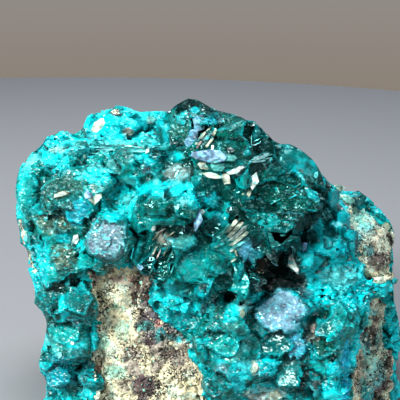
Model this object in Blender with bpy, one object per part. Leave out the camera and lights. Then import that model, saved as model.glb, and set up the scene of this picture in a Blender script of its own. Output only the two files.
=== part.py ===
# A loose hand specimen of dioptase: clusters of glassy blue-green crystals on a lump of
# pale host rock, which a turquoise chrysocolla crust covers but for a few bare places.
# The crust has grown on the rock, so the two are one solid, sunk where the rock is bare.
# Built in metres, +Z up, with the front of the specimen towards -Y.

import math
import random

import bmesh
import bpy
import numpy as np
from mathutils import Matrix, Vector, noise
from mathutils.bvhtree import BVHTree

MM = 0.001

# The lump, in millimetres.
CORE_HEIGHT = 26.0  # height of the point that all the radii are measured from
FRONT_DEPTH = 17.5  # from the core to the front face
BACK_DEPTH = 17.5  # from the core to the back face
BOXINESS = 2.8  # 2 is an ellipsoid, and higher is squarer

# The crust and the crystals, in millimetres.
GAP = 0.3  # between the rock and a cluster, and between clusters
CRUST_THICKNESS = 1.6
CRUST_LUMPS = 0.8  # how far the crust swells above and below its thickness
PIT_DEPTH = 1.0  # in the bare rock
CRYSTAL_HEM = 1.0  # the crystals stop this far above the base
FLOOR_REACH = 60.0  # half the side of the block that cuts the base flat

# Waves of the rock's, the crust's and the pits' roughness: (wavelength, depth).
ROCK_WAVES = ((9.0, 1.1), (4.5, 0.7))
CRUST_WAVELENGTH = 3.7
PIT_WAVES = ((2.3, 0.6), (1.2, 0.4))
PIT_COVER = 0.4  # 0.5 would pit all of the bare rock

# The share of triangles that is kept in each rough surface.
ROCK_SHARE = 0.070
CRUST_SHARE = 0.100
BARE_WEIGHT = 0.9  # how strongly the bare rock keeps its triangles

# Dioptase crystals: the polar angle of their end faces, and the seeded spread of their forms.
END_FACE_TILT = math.radians(50.8)
SIDE_SPREAD = (0.82, 1.08)  # of the width, for each side
END_SPREAD = (0.95, 1.25)  # of the length, for each end face
SHORTEST_END = 0.3  # of the width
BROKEN_CORNER = 0.46  # of the width, from the middle to the broken face
CLUSTER_SIZES = (0.75, 1.15)
CLUSTER_LENGTHS = (1.1, 1.4)
CLUSTER_LEANS = (5.0, 55.0)
CLUSTER_LIFTS = (-0.4, 0.5)
CLUSTER_OVERLAP = (0.42, 0.8)  # of the width, between a crystal and its nearest neighbour
LOWEST_PLACE = 4.0
CORNER_REACH = 1.6  # of the widest face's distance, from the middle to a corner
CRYSTAL_SEED = 11

# The eye from which places on the front are given, 170 mm off and 16 degrees up.
EYE = Vector((-1.0, -163.4, 80.4))

# Front outline of the rock, as (x, height) from lower left, clockwise.
OUTLINE = [
    (-26.4, -5.0), (-25.6, 3.0), (-25.4, 12.0), (-26.4, 17.5), (-27.6, 24.0), (-28.4, 30.0),
    (-28.4, 36.5), (-26.4, 40.2), (-22.0, 42.2), (-17.0, 42.8), (-12.0, 43.0), (-7.0, 43.0),
    (-2.0, 43.0), (4.0, 41.2), (10.0, 38.0), (16.0, 34.8), (22.0, 32.2), (27.4, 31.6),
    (30.4, 26.0), (30.0, 20.0), (29.6, 13.0), (30.0, 5.0), (30.2, -5.0),
]

# Swellings and hollows: (x, y, z, reach, push), with the push outwards.
SWELLINGS = [
    (-24.0, -10.0, 34.0, 8.0, 1.2),  # left cheek
    (-24.6, 1.0, 42.0, 3.6, 1.8),  # small knob at the top left corner
    (-13.0, 13.0, 42.0, 7.0, 5.0),  # ridge along the back of the top
    (-13.0, -4.0, 43.0, 6.0, -0.8),  # step in the top, in front of the ridge
    (-6.0, -17.0, 30.0, 6.0, 1.8),  # brow over the bare rock
    (-9.0, -18.0, 21.0, 4.0, -1.0),  # undercut below the brow
    (-11.0, -18.0, 11.0, 8.0, 1.0),  # bare rock at the lower front
    (4.0, -15.0, 36.0, 9.0, 2.0),  # seat of the big crystal group
    (12.5, -17.0, 20.0, 4.6, -4.6),  # hollow beside the big crystal group
    (4.0, -18.0, 12.0, 7.0, 1.5),  # swelling low in the middle
    (15.0, -17.0, 8.0, 7.0, 1.2),  # swelling low on the right
    (27.0, -9.0, 12.0, 8.0, 1.0),  # right flank
    (24.0, -4.0, 30.0, 6.0, 1.6),  # right shoulder
    (-20.0, 15.0, 18.0, 9.0, 1.6),  # back, left
    (8.0, 17.0, 27.0, 9.0, 1.4),  # back, middle
    (24.0, 12.0, 14.0, 8.0, 1.0),  # back, right
    (-3.0, 17.0, 10.0, 6.0, -1.8),  # hollow low at the back
    (2.0, 14.0, 41.0, 5.0, -1.4),  # dip behind the big crystal group
]

# Lumps and pits strewn over the top, the sides and the back.
STREWN_LUMPS = 60
STREWN_REACH = (2.6, 4.6)
STREWN_PUSH = (-1.3, 1.7)
STREWN_FRONT_LIMIT = -9.0  # none in front of this y

# Places where the crust is missing and the rock shows: how far back each goes, and its
# outline as (x, height) seen from the front.
FRONT_WINDOWS = [
    (-4.0, [(-19.5, 21.0), (-15.5, 22.2), (-10.5, 20.8), (-11.6, 15.0), (-7.2, 9.2), (-3.0, 5.0),
            (-0.8, 0.5), (-0.5, -14.0), (-19.5, -14.0), (-18.5, -3.0), (-20.2, 6.0), (-18.4, 13.5)]),
    (-8.0, [(28.0, 16.0), (38.0, 14.6), (38.0, 2.0), (38.0, -14.0), (25.8, -14.0), (26.2, 7.0),
            (27.2, 12.5)]),
    (3.0, [(24.2, 32.6), (29.0, 36.0), (38.0, 30.0), (38.0, 21.0), (28.0, 19.4), (25.6, 24.0)]),
]
WINDOW_NEAR = -32.0
WINDOW_RAGGEDNESS = 2.0  # of a window's hidden far side

# Bare places out of the eye's sight or at its edge, as (x, y, z, radius).
BARE_PATCHES = [
    (-31.0, -7.0, 26.0, 3.6),
    (-17.5, 9.0, 47.0, 2.8),
    (13.0, 21.0, 8.0, 8.0),
    (-16.0, 20.5, 33.0, 5.6),
]

# Crystals on the front, by cluster: (x, height, width, length, lift, lean in degrees).
FRONT_CRYSTALS = {
    "dioptase_crown": [
        # the big dark crystals at the top
        (-2.2, 43.6, 10.0, 12.0, 1.2, 18), (3.0, 41.8, 9.5, 10.5, 1.6, 30),
        (1.6, 38.0, 8.4, 9.4, 1.8, 45), (8.0, 39.4, 8.4, 9.6, 1.4, 15),
        (13.6, 37.6, 8.6, 9.2, 1.4, 60), (7.6, 35.0, 8.4, 9.6, 2.6, 35),
        (12.6, 32.0, 9.0, 10.0, 2.0, 50), (16.6, 32.6, 7.4, 8.6, 1.0, 25),
        (10.6, 28.4, 7.6, 8.6, 1.0, 40), (15.0, 27.8, 6.4, 7.6, 0.4, 20),
        (4.6, 31.0, 6.8, 8.0, 0.6, 55), (-3.4, 38.8, 6.8, 7.4, 0.4, 35),
        # the edge of the flat top, to their left
        (-12.8, 38.6, 5.4, 6.6, -0.1, 40), (-8.8, 39.0, 5.8, 6.6, -0.1, 30),
        # the brow over the bare rock
        (-7.6, 31.6, 6.8, 8.4, 0.3, 60), (-3.6, 30.6, 6.4, 8.0, 0.3, 50), (0.0, 32.6, 5.6, 7.0, 0.0, 30),
        (-7.4, 35.4, 5.6, 6.6, -0.2, 25), (-2.6, 35.0, 5.6, 6.6, 0.0, 45),
        # the plates and ridges below it
        (-8.4, 23.4, 4.8, 6.4, -0.1, 25), (-5.0, 26.0, 5.2, 6.8, -0.1, 55), (-4.6, 20.6, 5.2, 7.0, 0.0, 30),
        (0.2, 19.2, 5.0, 7.6, 0.0, 20), (0.4, 24.0, 6.0, 7.6, 0.0, 40), (4.4, 28.0, 5.4, 6.6, 0.2, 30),
        (4.8, 24.4, 5.6, 7.0, 0.2, 60), (5.4, 19.8, 5.4, 7.4, 0.2, 25),
        # the rim of the dark hollow, and the right shoulder
        (16.8, 23.8, 5.0, 6.0, 0.0, 45), (20.8, 30.4, 4.8, 5.8, -0.4, 30), (23.0, 26.4, 4.6, 5.8, -0.4, 50),
        (20.2, 25.2, 4.6, 5.4, -0.4, 20),
    ],
    "dioptase_left": [
        (-23.6, 34.2, 7.2, 8.0, -0.2, 35), (-28.0, 34.8, 6.4, 7.4, -0.4, 20), (-21.4, 31.6, 6.2, 7.0, -0.4, 50),
        (-19.0, 36.0, 5.4, 6.6, -0.4, 30), (-26.6, 29.4, 5.6, 6.6, -0.6, 40), (-16.6, 27.0, 7.0, 8.6, 0.2, 12),
        (-18.6, 23.8, 5.0, 6.0, -0.2, 40), (-25.2, 26.2, 4.8, 6.0, -0.4, 25), (-24.4, 22.8, 5.6, 6.6, -0.1, 40),
        (-21.0, 23.0, 4.6, 6.2, -0.2, 15), (-24.6, 18.9, 5.4, 6.4, -0.2, 30), (-26.4, 15.8, 5.2, 6.0, 0.0, 25),
        (-22.4, 15.2, 5.8, 7.4, 0.0, 25), (-24.2, 11.6, 5.8, 7.2, -0.1, 45), (-23.2, 7.6, 6.0, 7.4, 0.0, 20),
        (-25.4, 3.6, 6.0, 7.0, 0.0, 50),
    ],
    "dioptase_lower_right": [
        (13.2, 13.2, 8.2, 9.4, 1.0, 8), (13.2, 7.2, 5.4, 7.6, 0.0, 30), (15.0, 2.6, 5.6, 6.8, -0.2, 50),
        (17.6, 5.0, 5.0, 6.4, -0.2, 35), (20.8, 9.4, 6.4, 8.4, 0.2, 25), (18.4, 14.2, 4.6, 5.8, -0.2, 45),
        (23.0, 11.8, 5.2, 6.6, -0.2, 15), (20.8, 4.6, 6.0, 7.4, -0.1, 50), (21.8, -0.6, 5.6, 6.8, -0.2, 20),
        (9.4, 5.0, 5.4, 6.6, -0.1, 30), (5.2, 4.6, 6.0, 7.0, 0.0, 50), (4.6, 12.0, 5.8, 7.4, 0.0, 35),
        (1.8, 8.2, 6.0, 7.2, 0.0, 20), (3.4, 0.4, 5.8, 6.8, -0.1, 60), (8.8, 9.6, 5.0, 6.4, -0.2, 40),
    ],
    "dioptase_ridge": [(-14.8, 45.6, 4.6, 5.4, -0.4, 30), (-12.2, 45.8, 4.2, 5.0, -0.4, 55)],
}

# Crystals that the eye doesn't see, by cluster: a first place (x, y, z), how many, how wide, how spread.
OTHER_CRYSTALS = {
    "dioptase_crown": ((-1.0, 1.0, 45.0), 6, 6.8, 4.5),
    "dioptase_left_side": ((-29.0, 9.0, 27.0), 5, 5.2, 5.0),
    "dioptase_back_left": ((-17.0, 19.0, 18.0), 8, 6.4, 6.0),
    "dioptase_back_middle": ((5.0, 20.0, 32.0), 9, 6.8, 6.5),
    "dioptase_back_foot": ((-3.0, 19.0, 7.0), 5, 5.4, 5.0),
    "dioptase_back_right": ((22.0, 15.0, 22.0), 6, 6.0, 5.5),
    "dioptase_right_side": ((31.0, 7.0, 10.0), 4, 5.0, 5.0),
}

MATERIALS = {
    "host_rock": ((0.02, 0.52, 0.58, 1.0), 0.70, 0.0, 1.5),
    "dioptase": ((0.00, 0.27, 0.24, 1.0), 0.12, 0.35, 1.67),
}


def remove_everything():
    for obj in list(bpy.data.objects):
        bpy.data.objects.remove(obj, do_unlink=True)


def new_collection(name):
    collection = bpy.data.collections.new(name)
    bpy.context.scene.collection.children.link(collection)
    return collection


def new_object(name, bm, collection):
    """An object from a bmesh in millimetres."""
    mesh = bpy.data.meshes.new(name)
    bm.to_mesh(mesh)
    bm.free()
    mesh.transform(Matrix.Scale(MM, 4))
    obj = bpy.data.objects.new(name, mesh)
    collection.objects.link(obj)
    return obj


def settle_modifiers(obj):
    """Keep what the modifiers make, and drop them."""
    seen = obj.evaluated_get(bpy.context.evaluated_depsgraph_get())
    mesh = bpy.data.meshes.new_from_object(seen)
    obj.modifiers.clear()
    obj.data = mesh


def combine(obj, other, operation):
    """Add the other solid to this one, or take it away."""
    modifier = obj.modifiers.new(operation.lower(), "BOOLEAN")
    modifier.operation = operation
    modifier.solver = "EXACT"
    modifier.use_self = True
    modifier.use_hole_tolerant = True
    modifier.object = other
    settle_modifiers(obj)


def outline_radii():
    places = sorted(
        (math.atan2(height - CORE_HEIGHT, x), math.hypot(x, height - CORE_HEIGHT))
        for x, height in OUTLINE
    )
    return [angle for angle, _ in places], [radius for _, radius in places]


def strewn_lumps():
    """Seeded swellings and hollows, away from the front."""
    rng = random.Random(5)
    lumps = []
    while len(lumps) < STREWN_LUMPS:
        place = Vector((rng.uniform(-30, 30), rng.uniform(STREWN_FRONT_LIMIT, 20), rng.uniform(2, 44)))
        lumps.append((*place, rng.uniform(*STREWN_REACH), rng.uniform(*STREWN_PUSH)))
    return lumps


def rock_point(direction, angles, radii, lumps):
    """Where the rock's surface lies in this direction from its core."""
    angle = math.atan2(direction.z, direction.x)
    outline_radius = float(np.interp(angle, angles, radii, period=2 * math.pi))
    depth = FRONT_DEPTH if direction.y < 0 else BACK_DEPTH
    around = math.hypot(direction.x, direction.z) / outline_radius
    through = abs(direction.y) / depth
    reach = (around**BOXINESS + through**BOXINESS) ** (-1 / BOXINESS)
    point = direction * reach + Vector((0.0, 0.0, CORE_HEIGHT))
    push = sum(depth * noise.noise(point / wave) for wave, depth in ROCK_WAVES)
    for x, y, z, width, height in SWELLINGS + lumps:
        away = (point - Vector((x, y, z))).length
        push += height * math.exp(-((away / width) ** 2))
    return point + direction * push


def seen_from_front(point):
    """The (x, height) at which the eye sees this point, on the upright plane through the core."""
    share = -EYE.y / (point.y - EYE.y)
    spot = EYE + (point - EYE) * share
    return spot.x, spot.z


def inside(polygon, x, z):
    within = False
    for (x1, z1), (x2, z2) in zip(polygon, polygon[1:] + polygon[:1]):
        if (z1 > z) != (z2 > z) and x < x1 + (x2 - x1) * (z - z1) / (z2 - z1):
            within = not within
    return within


def is_bare(point):
    """Whether the crust is missing at this point."""
    x, z = seen_from_front(point)
    if any(point.y < far and inside(outline, x, z) for far, outline in FRONT_WINDOWS):
        return True
    return any((point - Vector((x, y, z))).length < reach for x, y, z, reach in BARE_PATCHES)


def whole_rock():
    """A closed bmesh of the rock's surface."""
    angles, radii = outline_radii()
    lumps = strewn_lumps()
    bm = bmesh.new()
    bmesh.ops.create_icosphere(bm, subdivisions=6, radius=1.0)
    for vertex in bm.verts:
        vertex.co = rock_point(vertex.co.normalized(), angles, radii, lumps)
    return bm


def thinned(bm, share, keep_bare):
    """The surface with only a share of its triangles, kept denser where the rock is bare."""
    mesh = bpy.data.meshes.new("thinned")
    bm.to_mesh(mesh)
    bm.free()
    obj = bpy.data.objects.new("thinned", mesh)
    bpy.context.scene.collection.objects.link(obj)
    modifier = obj.modifiers.new("thin", "DECIMATE")
    modifier.ratio = share
    if keep_bare:
        group = obj.vertex_groups.new(name="bare")
        group.add([v.index for v in mesh.vertices if is_bare(v.co)], BARE_WEIGHT, "REPLACE")
        modifier.vertex_group = group.name
        modifier.invert_vertex_group = True
    settle_modifiers(obj)
    result = bmesh.new()
    result.from_mesh(obj.data)
    bmesh.ops.beautify_fill(result, faces=result.faces[:], edges=result.edges[:], method="ANGLE")
    bpy.data.objects.remove(obj, do_unlink=True)
    return result


def grown(bm, distance):
    """A copy of the surface moved out along its normals, by a distance or a function of place."""
    result = bm.copy()
    result.normal_update()
    for vertex in result.verts:
        vertex.co += vertex.normal * (distance(vertex.co) if callable(distance) else distance)
    return result


def crust_top(point):
    """How far the crust's outer face stands off the rock."""
    return CRUST_THICKNESS + CRUST_LUMPS * noise.noise(point / CRUST_WAVELENGTH)


def pitting(point):
    """How far the rock's own surface is sunk, in pits where it is bare."""
    if not is_bare(point):
        return 0.0
    pits = sum(depth * noise.noise(point / wave) for wave, depth in PIT_WAVES)
    return -PIT_DEPTH * min(1.0, max(0.0, PIT_COVER + pits))


def along_sight(x, z, y):
    """The point at this y on the eye's line to (x, z) on the upright plane through the core."""
    return EYE + (Vector((x, 0.0, z)) - EYE) * (y - EYE.y) / -EYE.y


def window_cutter(name, far, outline, collection):
    """The cone of sight through a window, from in front of the rock into it."""
    bm = bmesh.new()
    end = bm.faces.new([bm.verts.new(along_sight(x, z, WINDOW_NEAR)) for x, z in outline])
    moved = bmesh.ops.extrude_face_region(bm, geom=[end])["geom"]
    for number, vertex in enumerate(v for v in moved if isinstance(v, bmesh.types.BMVert)):
        x, z = seen_from_front(vertex.co)
        vertex.co = along_sight(x, z, far + WINDOW_RAGGEDNESS * math.sin(2.4 * number))
    bmesh.ops.triangulate(bm, faces=bm.faces[:])
    bmesh.ops.recalc_face_normals(bm, faces=bm.faces[:])
    return new_object(name, bm, collection)


def patch_cutter(name, place, reach, collection):
    """A lumpy ball that takes the crust off a bare place."""
    bm = bmesh.new()
    bmesh.ops.create_icosphere(bm, subdivisions=2, radius=reach)
    for vertex in bm.verts:
        vertex.co *= 1.0 + 0.45 * noise.noise(vertex.co / 2.5 + place)
        vertex.co += place
    return new_object(name, bm, collection)


def crystal_faces(centre, axis, width, length, rng):
    """The planes of one crystal: six sides, two three-sided ends and a broken corner."""
    turn = Vector((0.0, 0.0, 1.0)).rotation_difference(axis).to_matrix()
    spin = Matrix.Rotation(rng.uniform(0.0, math.pi), 3, "Z")
    planes = []
    for side in range(6):
        angle = math.radians(60.0 * side)
        normal = Vector((math.cos(angle), math.sin(angle), 0.0))
        planes.append((normal, 0.5 * width * rng.uniform(*SIDE_SPREAD)))
    for end in (1, -1):
        for side in range(3):
            angle = math.radians(120.0 * side + 30.0 + 60.0 * (end < 0))
            normal = Vector((
                math.sin(END_FACE_TILT) * math.cos(angle),
                math.sin(END_FACE_TILT) * math.sin(angle),
                end * math.cos(END_FACE_TILT),
            ))
            reach = 0.5 * length * math.cos(END_FACE_TILT) * rng.uniform(*END_SPREAD)
            planes.append((normal, max(reach, SHORTEST_END * width)))
    corner = Vector((rng.uniform(-1, 1), rng.uniform(-1, 1), rng.uniform(0.2, 1))).normalized()
    planes.append((corner, BROKEN_CORNER * width))
    return [(turn @ (spin @ normal), distance, centre) for normal, distance in planes]


def solid_between(planes, growth):
    """A convex solid from its faces' planes, each moved out by the growth."""
    points = []
    for i, (n1, d1, centre) in enumerate(planes):
        for j in range(i + 1, len(planes)):
            n2, d2, _ = planes[j]
            for n3, d3, _ in planes[j + 1:]:
                corner = Matrix((n1, n2, n3))
                if abs(corner.determinant()) < 1e-3:
                    continue
                point = corner.inverted() @ Vector((d1 + growth, d2 + growth, d3 + growth))
                if all(point.dot(n) <= d + growth + 1e-4 for n, d, _ in planes):
                    points.append(point + centre)
    bm = bmesh.new()
    for point in points:
        bm.verts.new(point)
    bmesh.ops.remove_doubles(bm, verts=bm.verts[:], dist=1e-3)
    hull = bmesh.ops.convex_hull(bm, input=bm.verts[:])
    spare = [e for e in hull["geom_interior"] + hull["geom_unused"] if isinstance(e, bmesh.types.BMVert)]
    bmesh.ops.delete(bm, geom=list(set(spare)), context="VERTS")
    bmesh.ops.dissolve_limit(bm, angle_limit=math.radians(0.5), verts=bm.verts[:], edges=bm.edges[:])
    bmesh.ops.recalc_face_normals(bm, faces=bm.faces[:])
    return bm


def lean_axis(normal, degrees, rng):
    """A direction that leans away from the normal, to a random side."""
    side = normal.cross(Vector((rng.uniform(-1, 1), rng.uniform(-1, 1), rng.uniform(-1, 1)))).normalized()
    return Matrix.Rotation(math.radians(degrees), 3, side) @ normal


def front_crystals(entries, seat, rng):
    """The crystals of a group on the front, set where the eye's line meets the seat."""
    crystals = []
    for x, z, width, length, lift, lean in entries:
        place, normal, _, _ = seat.ray_cast(EYE, (Vector((x, 0.0, z)) - EYE).normalized())
        axis = lean_axis(normal, lean, rng)
        crystals.append(crystal_faces(place + normal * lift, axis, width, length, rng))
    return crystals


def other_crystals(start, count, width, spread, seat, rng):
    """A cluster of crystals around a place, each beside the last few."""
    crystals = []
    places = []
    while len(places) < count:
        step = Vector((rng.gauss(0, 1), rng.gauss(0, 1), rng.gauss(0, 1))) * 0.5 * spread
        place, normal, _, _ = seat.find_nearest(Vector(start) + (step if places else Vector()))
        nearest = min([(place - other).length / width for other in places], default=CLUSTER_OVERLAP[1])
        if place.z < LOWEST_PLACE or not CLUSTER_OVERLAP[0] < nearest <= CLUSTER_OVERLAP[1]:
            continue
        places.append(place)
        size = width * rng.uniform(*CLUSTER_SIZES)
        axis = lean_axis(normal, rng.uniform(*CLUSTER_LEANS), rng)
        centre = place + normal * rng.uniform(*CLUSTER_LIFTS)
        crystals.append(crystal_faces(centre, axis, size, size * rng.uniform(*CLUSTER_LENGTHS), rng))
    return crystals


def largest_body(obj):
    """Keep the largest connected body of a mesh, and drop the crumbs that a cut has left."""
    bm = bmesh.new()
    bm.from_mesh(obj.data)
    bm.verts.ensure_lookup_table()
    unseen = set(bm.verts)
    bodies = []
    while unseen:
        body = set()
        edge_of_search = [unseen.pop()]
        while edge_of_search:
            vertex = edge_of_search.pop()
            body.add(vertex)
            for edge in vertex.link_edges:
                other = edge.other_vert(vertex)
                if other in unseen:
                    unseen.remove(other)
                    edge_of_search.append(other)
        bodies.append(body)
    bodies.sort(key=len)
    for body in bodies[:-1]:
        bmesh.ops.delete(bm, geom=list(body), context="VERTS")
    bmesh.ops.dissolve_limit(bm, angle_limit=math.radians(0.02), verts=bm.verts[:], edges=bm.edges[:])
    bmesh.ops.triangulate(bm, faces=bm.faces[:])
    bm.to_mesh(obj.data)
    bm.free()
    return [len(body) for body in bodies[:-1]]


def give_material(obj):
    color, roughness, transmission, ior = MATERIALS.get(obj.name, MATERIALS["dioptase"])
    material = bpy.data.materials.new(obj.name)
    material.use_nodes = True
    shader = material.node_tree.nodes["Principled BSDF"]
    shader.inputs["Base Color"].default_value = color
    shader.inputs["Roughness"].default_value = roughness
    shader.inputs["Metallic"].default_value = 0.0
    shader.inputs["Transmission Weight"].default_value = transmission
    shader.inputs["IOR"].default_value = ior
    obj.data.materials.clear()
    obj.data.materials.append(material)


def may_meet(planes, others):
    """Whether two crystals are near enough to touch."""
    reach = sum(max(distance for _, distance, _ in faces) for faces in (planes, others))
    return (planes[0][2] - others[0][2]).length < CORNER_REACH * reach


def centre_on_base(collection):
    """Bring the middle of the specimen's outline over the origin."""
    corners = [vertex.co for obj in collection.objects for vertex in obj.data.vertices]
    middle_x = (min(c.x for c in corners) + max(c.x for c in corners)) / 2
    middle_y = (min(c.y for c in corners) + max(c.y for c in corners)) / 2
    print("middle", middle_x, middle_y)
    for obj in collection.objects:
        obj.data.transform(Matrix.Translation((-middle_x, -middle_y, 0.0)))


def floor_cutter(name, height, collection):
    """A block that takes away all that lies below a height."""
    bm = bmesh.new()
    bmesh.ops.create_cube(bm, size=2 * FLOOR_REACH)
    bmesh.ops.translate(bm, verts=bm.verts[:], vec=(0.0, 0.0, height - FLOOR_REACH))
    return new_object(name, bm, collection)


def make_host_rock(skin, specimen, cutters):
    """The crusted lump, opened down to its pitted rock at each bare place."""
    host_rock = new_object("host_rock", skin.copy(), specimen)
    for number, (far, outline) in enumerate(FRONT_WINDOWS):
        combine(host_rock, window_cutter(f"window_{number}", far, outline, cutters), "DIFFERENCE")
    for number, (x, y, z, reach) in enumerate(BARE_PATCHES):
        combine(host_rock, patch_cutter(f"patch_{number}", Vector((x, y, z)), reach, cutters), "DIFFERENCE")
    bare_rock = grown(thinned(whole_rock(), ROCK_SHARE, keep_bare=True), pitting)
    combine(host_rock, new_object("bare_rock", bare_rock, cutters), "UNION")
    combine(host_rock, floor_cutter("below_base", 0.0, cutters), "DIFFERENCE")


def make_clusters(skin, specimen, cutters):
    """The crystals of each cluster joined in one solid, seated on the crust."""
    under_crystals = grown(skin, GAP)
    seat = BVHTree.FromBMesh(under_crystals)
    seat_cutter = new_object("seat", under_crystals, cutters)
    below_hem = floor_cutter("below_hem", CRYSTAL_HEM, cutters)
    rng = random.Random(CRYSTAL_SEED)
    clusters = {name: front_crystals(entries, seat, rng) for name, entries in FRONT_CRYSTALS.items()}
    for name, entry in OTHER_CRYSTALS.items():
        clusters[name] = clusters.get(name, []) + other_crystals(*entry, seat, rng)
    finished = []
    for name, crystals in clusters.items():
        cluster = new_object(name, solid_between(crystals[0], 0.0), specimen)
        for planes in crystals[1:]:
            combine(cluster, new_object("crystal", solid_between(planes, 0.0), cutters), "UNION")
        combine(cluster, seat_cutter, "DIFFERENCE")
        combine(cluster, below_hem, "DIFFERENCE")
        for planes in finished:
            if any(may_meet(planes, mine) for mine in crystals):
                combine(cluster, new_object("neighbour", solid_between(planes, GAP), cutters), "DIFFERENCE")
        finished += crystals


def build():
    remove_everything()
    specimen = new_collection("dioptase_specimen")
    cutters = new_collection("cutters")
    skin = thinned(grown(whole_rock(), crust_top), CRUST_SHARE, keep_bare=False)
    make_host_rock(skin, specimen, cutters)
    make_clusters(skin, specimen, cutters)
    for obj in list(cutters.objects):
        bpy.data.objects.remove(obj, do_unlink=True)
    for obj in specimen.objects:
        crumbs = largest_body(obj)
        give_material(obj)
        print(obj.name, len(obj.data.polygons), "triangles", crumbs)
    centre_on_base(specimen)


build()
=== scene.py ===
import math
import random

import bmesh
import bpy
import numpy as np
from mathutils import Matrix, Vector, noise
from mathutils.bvhtree import BVHTree
from mathutils.kdtree import KDTree


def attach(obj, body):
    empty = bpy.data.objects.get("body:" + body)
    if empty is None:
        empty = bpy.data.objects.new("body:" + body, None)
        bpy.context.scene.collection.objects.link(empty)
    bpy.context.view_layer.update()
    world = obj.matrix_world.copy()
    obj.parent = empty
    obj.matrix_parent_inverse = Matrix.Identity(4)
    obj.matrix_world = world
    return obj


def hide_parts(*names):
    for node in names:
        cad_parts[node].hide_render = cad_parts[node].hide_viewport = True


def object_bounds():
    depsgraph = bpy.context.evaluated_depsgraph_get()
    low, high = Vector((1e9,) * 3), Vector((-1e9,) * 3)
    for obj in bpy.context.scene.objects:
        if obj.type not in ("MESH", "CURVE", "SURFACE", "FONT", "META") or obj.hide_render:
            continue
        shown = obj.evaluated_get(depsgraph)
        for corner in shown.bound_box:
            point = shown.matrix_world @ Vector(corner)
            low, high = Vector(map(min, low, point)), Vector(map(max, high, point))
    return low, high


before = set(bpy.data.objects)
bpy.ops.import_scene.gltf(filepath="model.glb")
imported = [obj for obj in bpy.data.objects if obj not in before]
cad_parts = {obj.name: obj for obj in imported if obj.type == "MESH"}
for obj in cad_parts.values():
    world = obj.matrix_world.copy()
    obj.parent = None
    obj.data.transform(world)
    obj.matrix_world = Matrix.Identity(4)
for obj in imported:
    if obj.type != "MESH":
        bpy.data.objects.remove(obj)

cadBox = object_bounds()
perMetre = 1000.0  # shapes are made in millimetres, and shrunk to metres at the end

# The camera, where the photograph's stood.
cameraPlan = {
    "aim": (-1.96, -0.40, 33.5),
    "distance": 170.0,
    "elevation": 16.0,
    "lens": 92.0,
    "sensor": 36.0,
    "pixels": 400,
}

# Colours as the eye sees them, red, green and blue up to 255.
palette = {
    "brightCyan": (0, 226, 234),
    "cyan": (0, 198, 206),
    "paleCyan": (116, 226, 226),
    "blueCyan": (0, 172, 208),
    "lightBlue": (110, 200, 232),
    "teal": (0, 158, 154),
    "tealBlue": (0, 146, 162),
    "deepTeal": (0, 100, 98),
    "bottle": (0, 84, 72),
    "deep": (0, 46, 41),
    # black is painted shadow where the crystals and crust have it: in gaps and hollows and under overhangs
    "black": (0, 12, 11),
    "greyTeal": (72, 156, 150),
    "greyGreen": (36, 102, 92),
    "olive": (92, 116, 96),
    "lavender": (124, 164, 196),
    "coatBlue": (130, 168, 190),
    "slate": (106, 126, 138),
    "reflectedLightBlueGrey": (92, 140, 166),
    "cream": (204, 218, 196),
    "white": (216, 236, 228),
    "beige": (166, 172, 150),
    "blush": (166, 152, 142),
    "mint": (146, 228, 206),
    "greyPurple": (70, 84, 98),
    "rock": (232, 226, 190),
    "paleRock": (216, 234, 214),
    "greyBeige": (168, 160, 146),
    "greyMauve": (112, 106, 116),
    "maroon": (74, 44, 50),
    "purpleBrown": (88, 68, 76),
    "blackBrown": (34, 26, 24),
    "rust": (176, 100, 70),
    "pink": (212, 144, 132),
    "green": (40, 156, 110),
}


def linear(name):
    shares = np.array(palette[name]) / 255.0
    return np.where(shares > 0.04045, ((shares + 0.055) / 1.055) ** 2.4, shares / 12.92)


def cameraAxes():
    tilt = math.radians(cameraPlan["elevation"])
    forward = np.array([0.0, math.cos(tilt), -math.sin(tilt)])
    upward = np.array([0.0, math.sin(tilt), math.cos(tilt)])
    eye = np.array(cameraPlan["aim"]) - forward * cameraPlan["distance"]
    return eye, forward, upward


eye, forward, upward = cameraAxes()
focal = cameraPlan["pixels"] * cameraPlan["lens"] / cameraPlan["sensor"]
middlePixel = cameraPlan["pixels"] / 2


def pixelsOf(points):  # where the camera sees points in space
    away = points - eye
    depth = away @ forward
    return np.stack([middlePixel + focal * away[:, 0] / depth, middlePixel - focal * (away @ upward) / depth], 1)


def sightLine(px, py):  # the direction from the eye through a pixel
    line = forward + np.array([1.0, 0.0, 0.0]) * (px - middlePixel) / focal + upward * (middlePixel - py) / focal
    return line / np.linalg.norm(line)


def smoothStep(low, high, values):
    share = np.clip((values - low) / (high - low), 0.0, 1.0)
    return share * share * (3.0 - 2.0 * share)


def noiseField(points, wave, shift=0.0):
    offset = Vector((17.3, 5.1, 9.7)) * shift
    return np.array([noise.noise(Vector(p) / wave + offset) for p in points])


# Meshes in numbers

def solidCopy(names):  # CAD nodes merged in one bmesh, in millimetres
    bm = bmesh.new()
    for name in names:
        bm.from_mesh(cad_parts[name].data)
    bmesh.ops.scale(bm, vec=(perMetre,) * 3, verts=bm.verts)
    bmesh.ops.remove_doubles(bm, verts=bm.verts, dist=0.001)
    return bm


def settled(obj):  # the mesh as its modifiers make it
    seen = obj.evaluated_get(bpy.context.evaluated_depsgraph_get())
    mesh = bpy.data.meshes.new_from_object(seen)
    bpy.data.objects.remove(obj, do_unlink=True)
    return mesh


def looseObject(name, data):
    obj = bpy.data.objects.new(name, data)
    bpy.context.scene.collection.objects.link(obj)
    return obj


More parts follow.
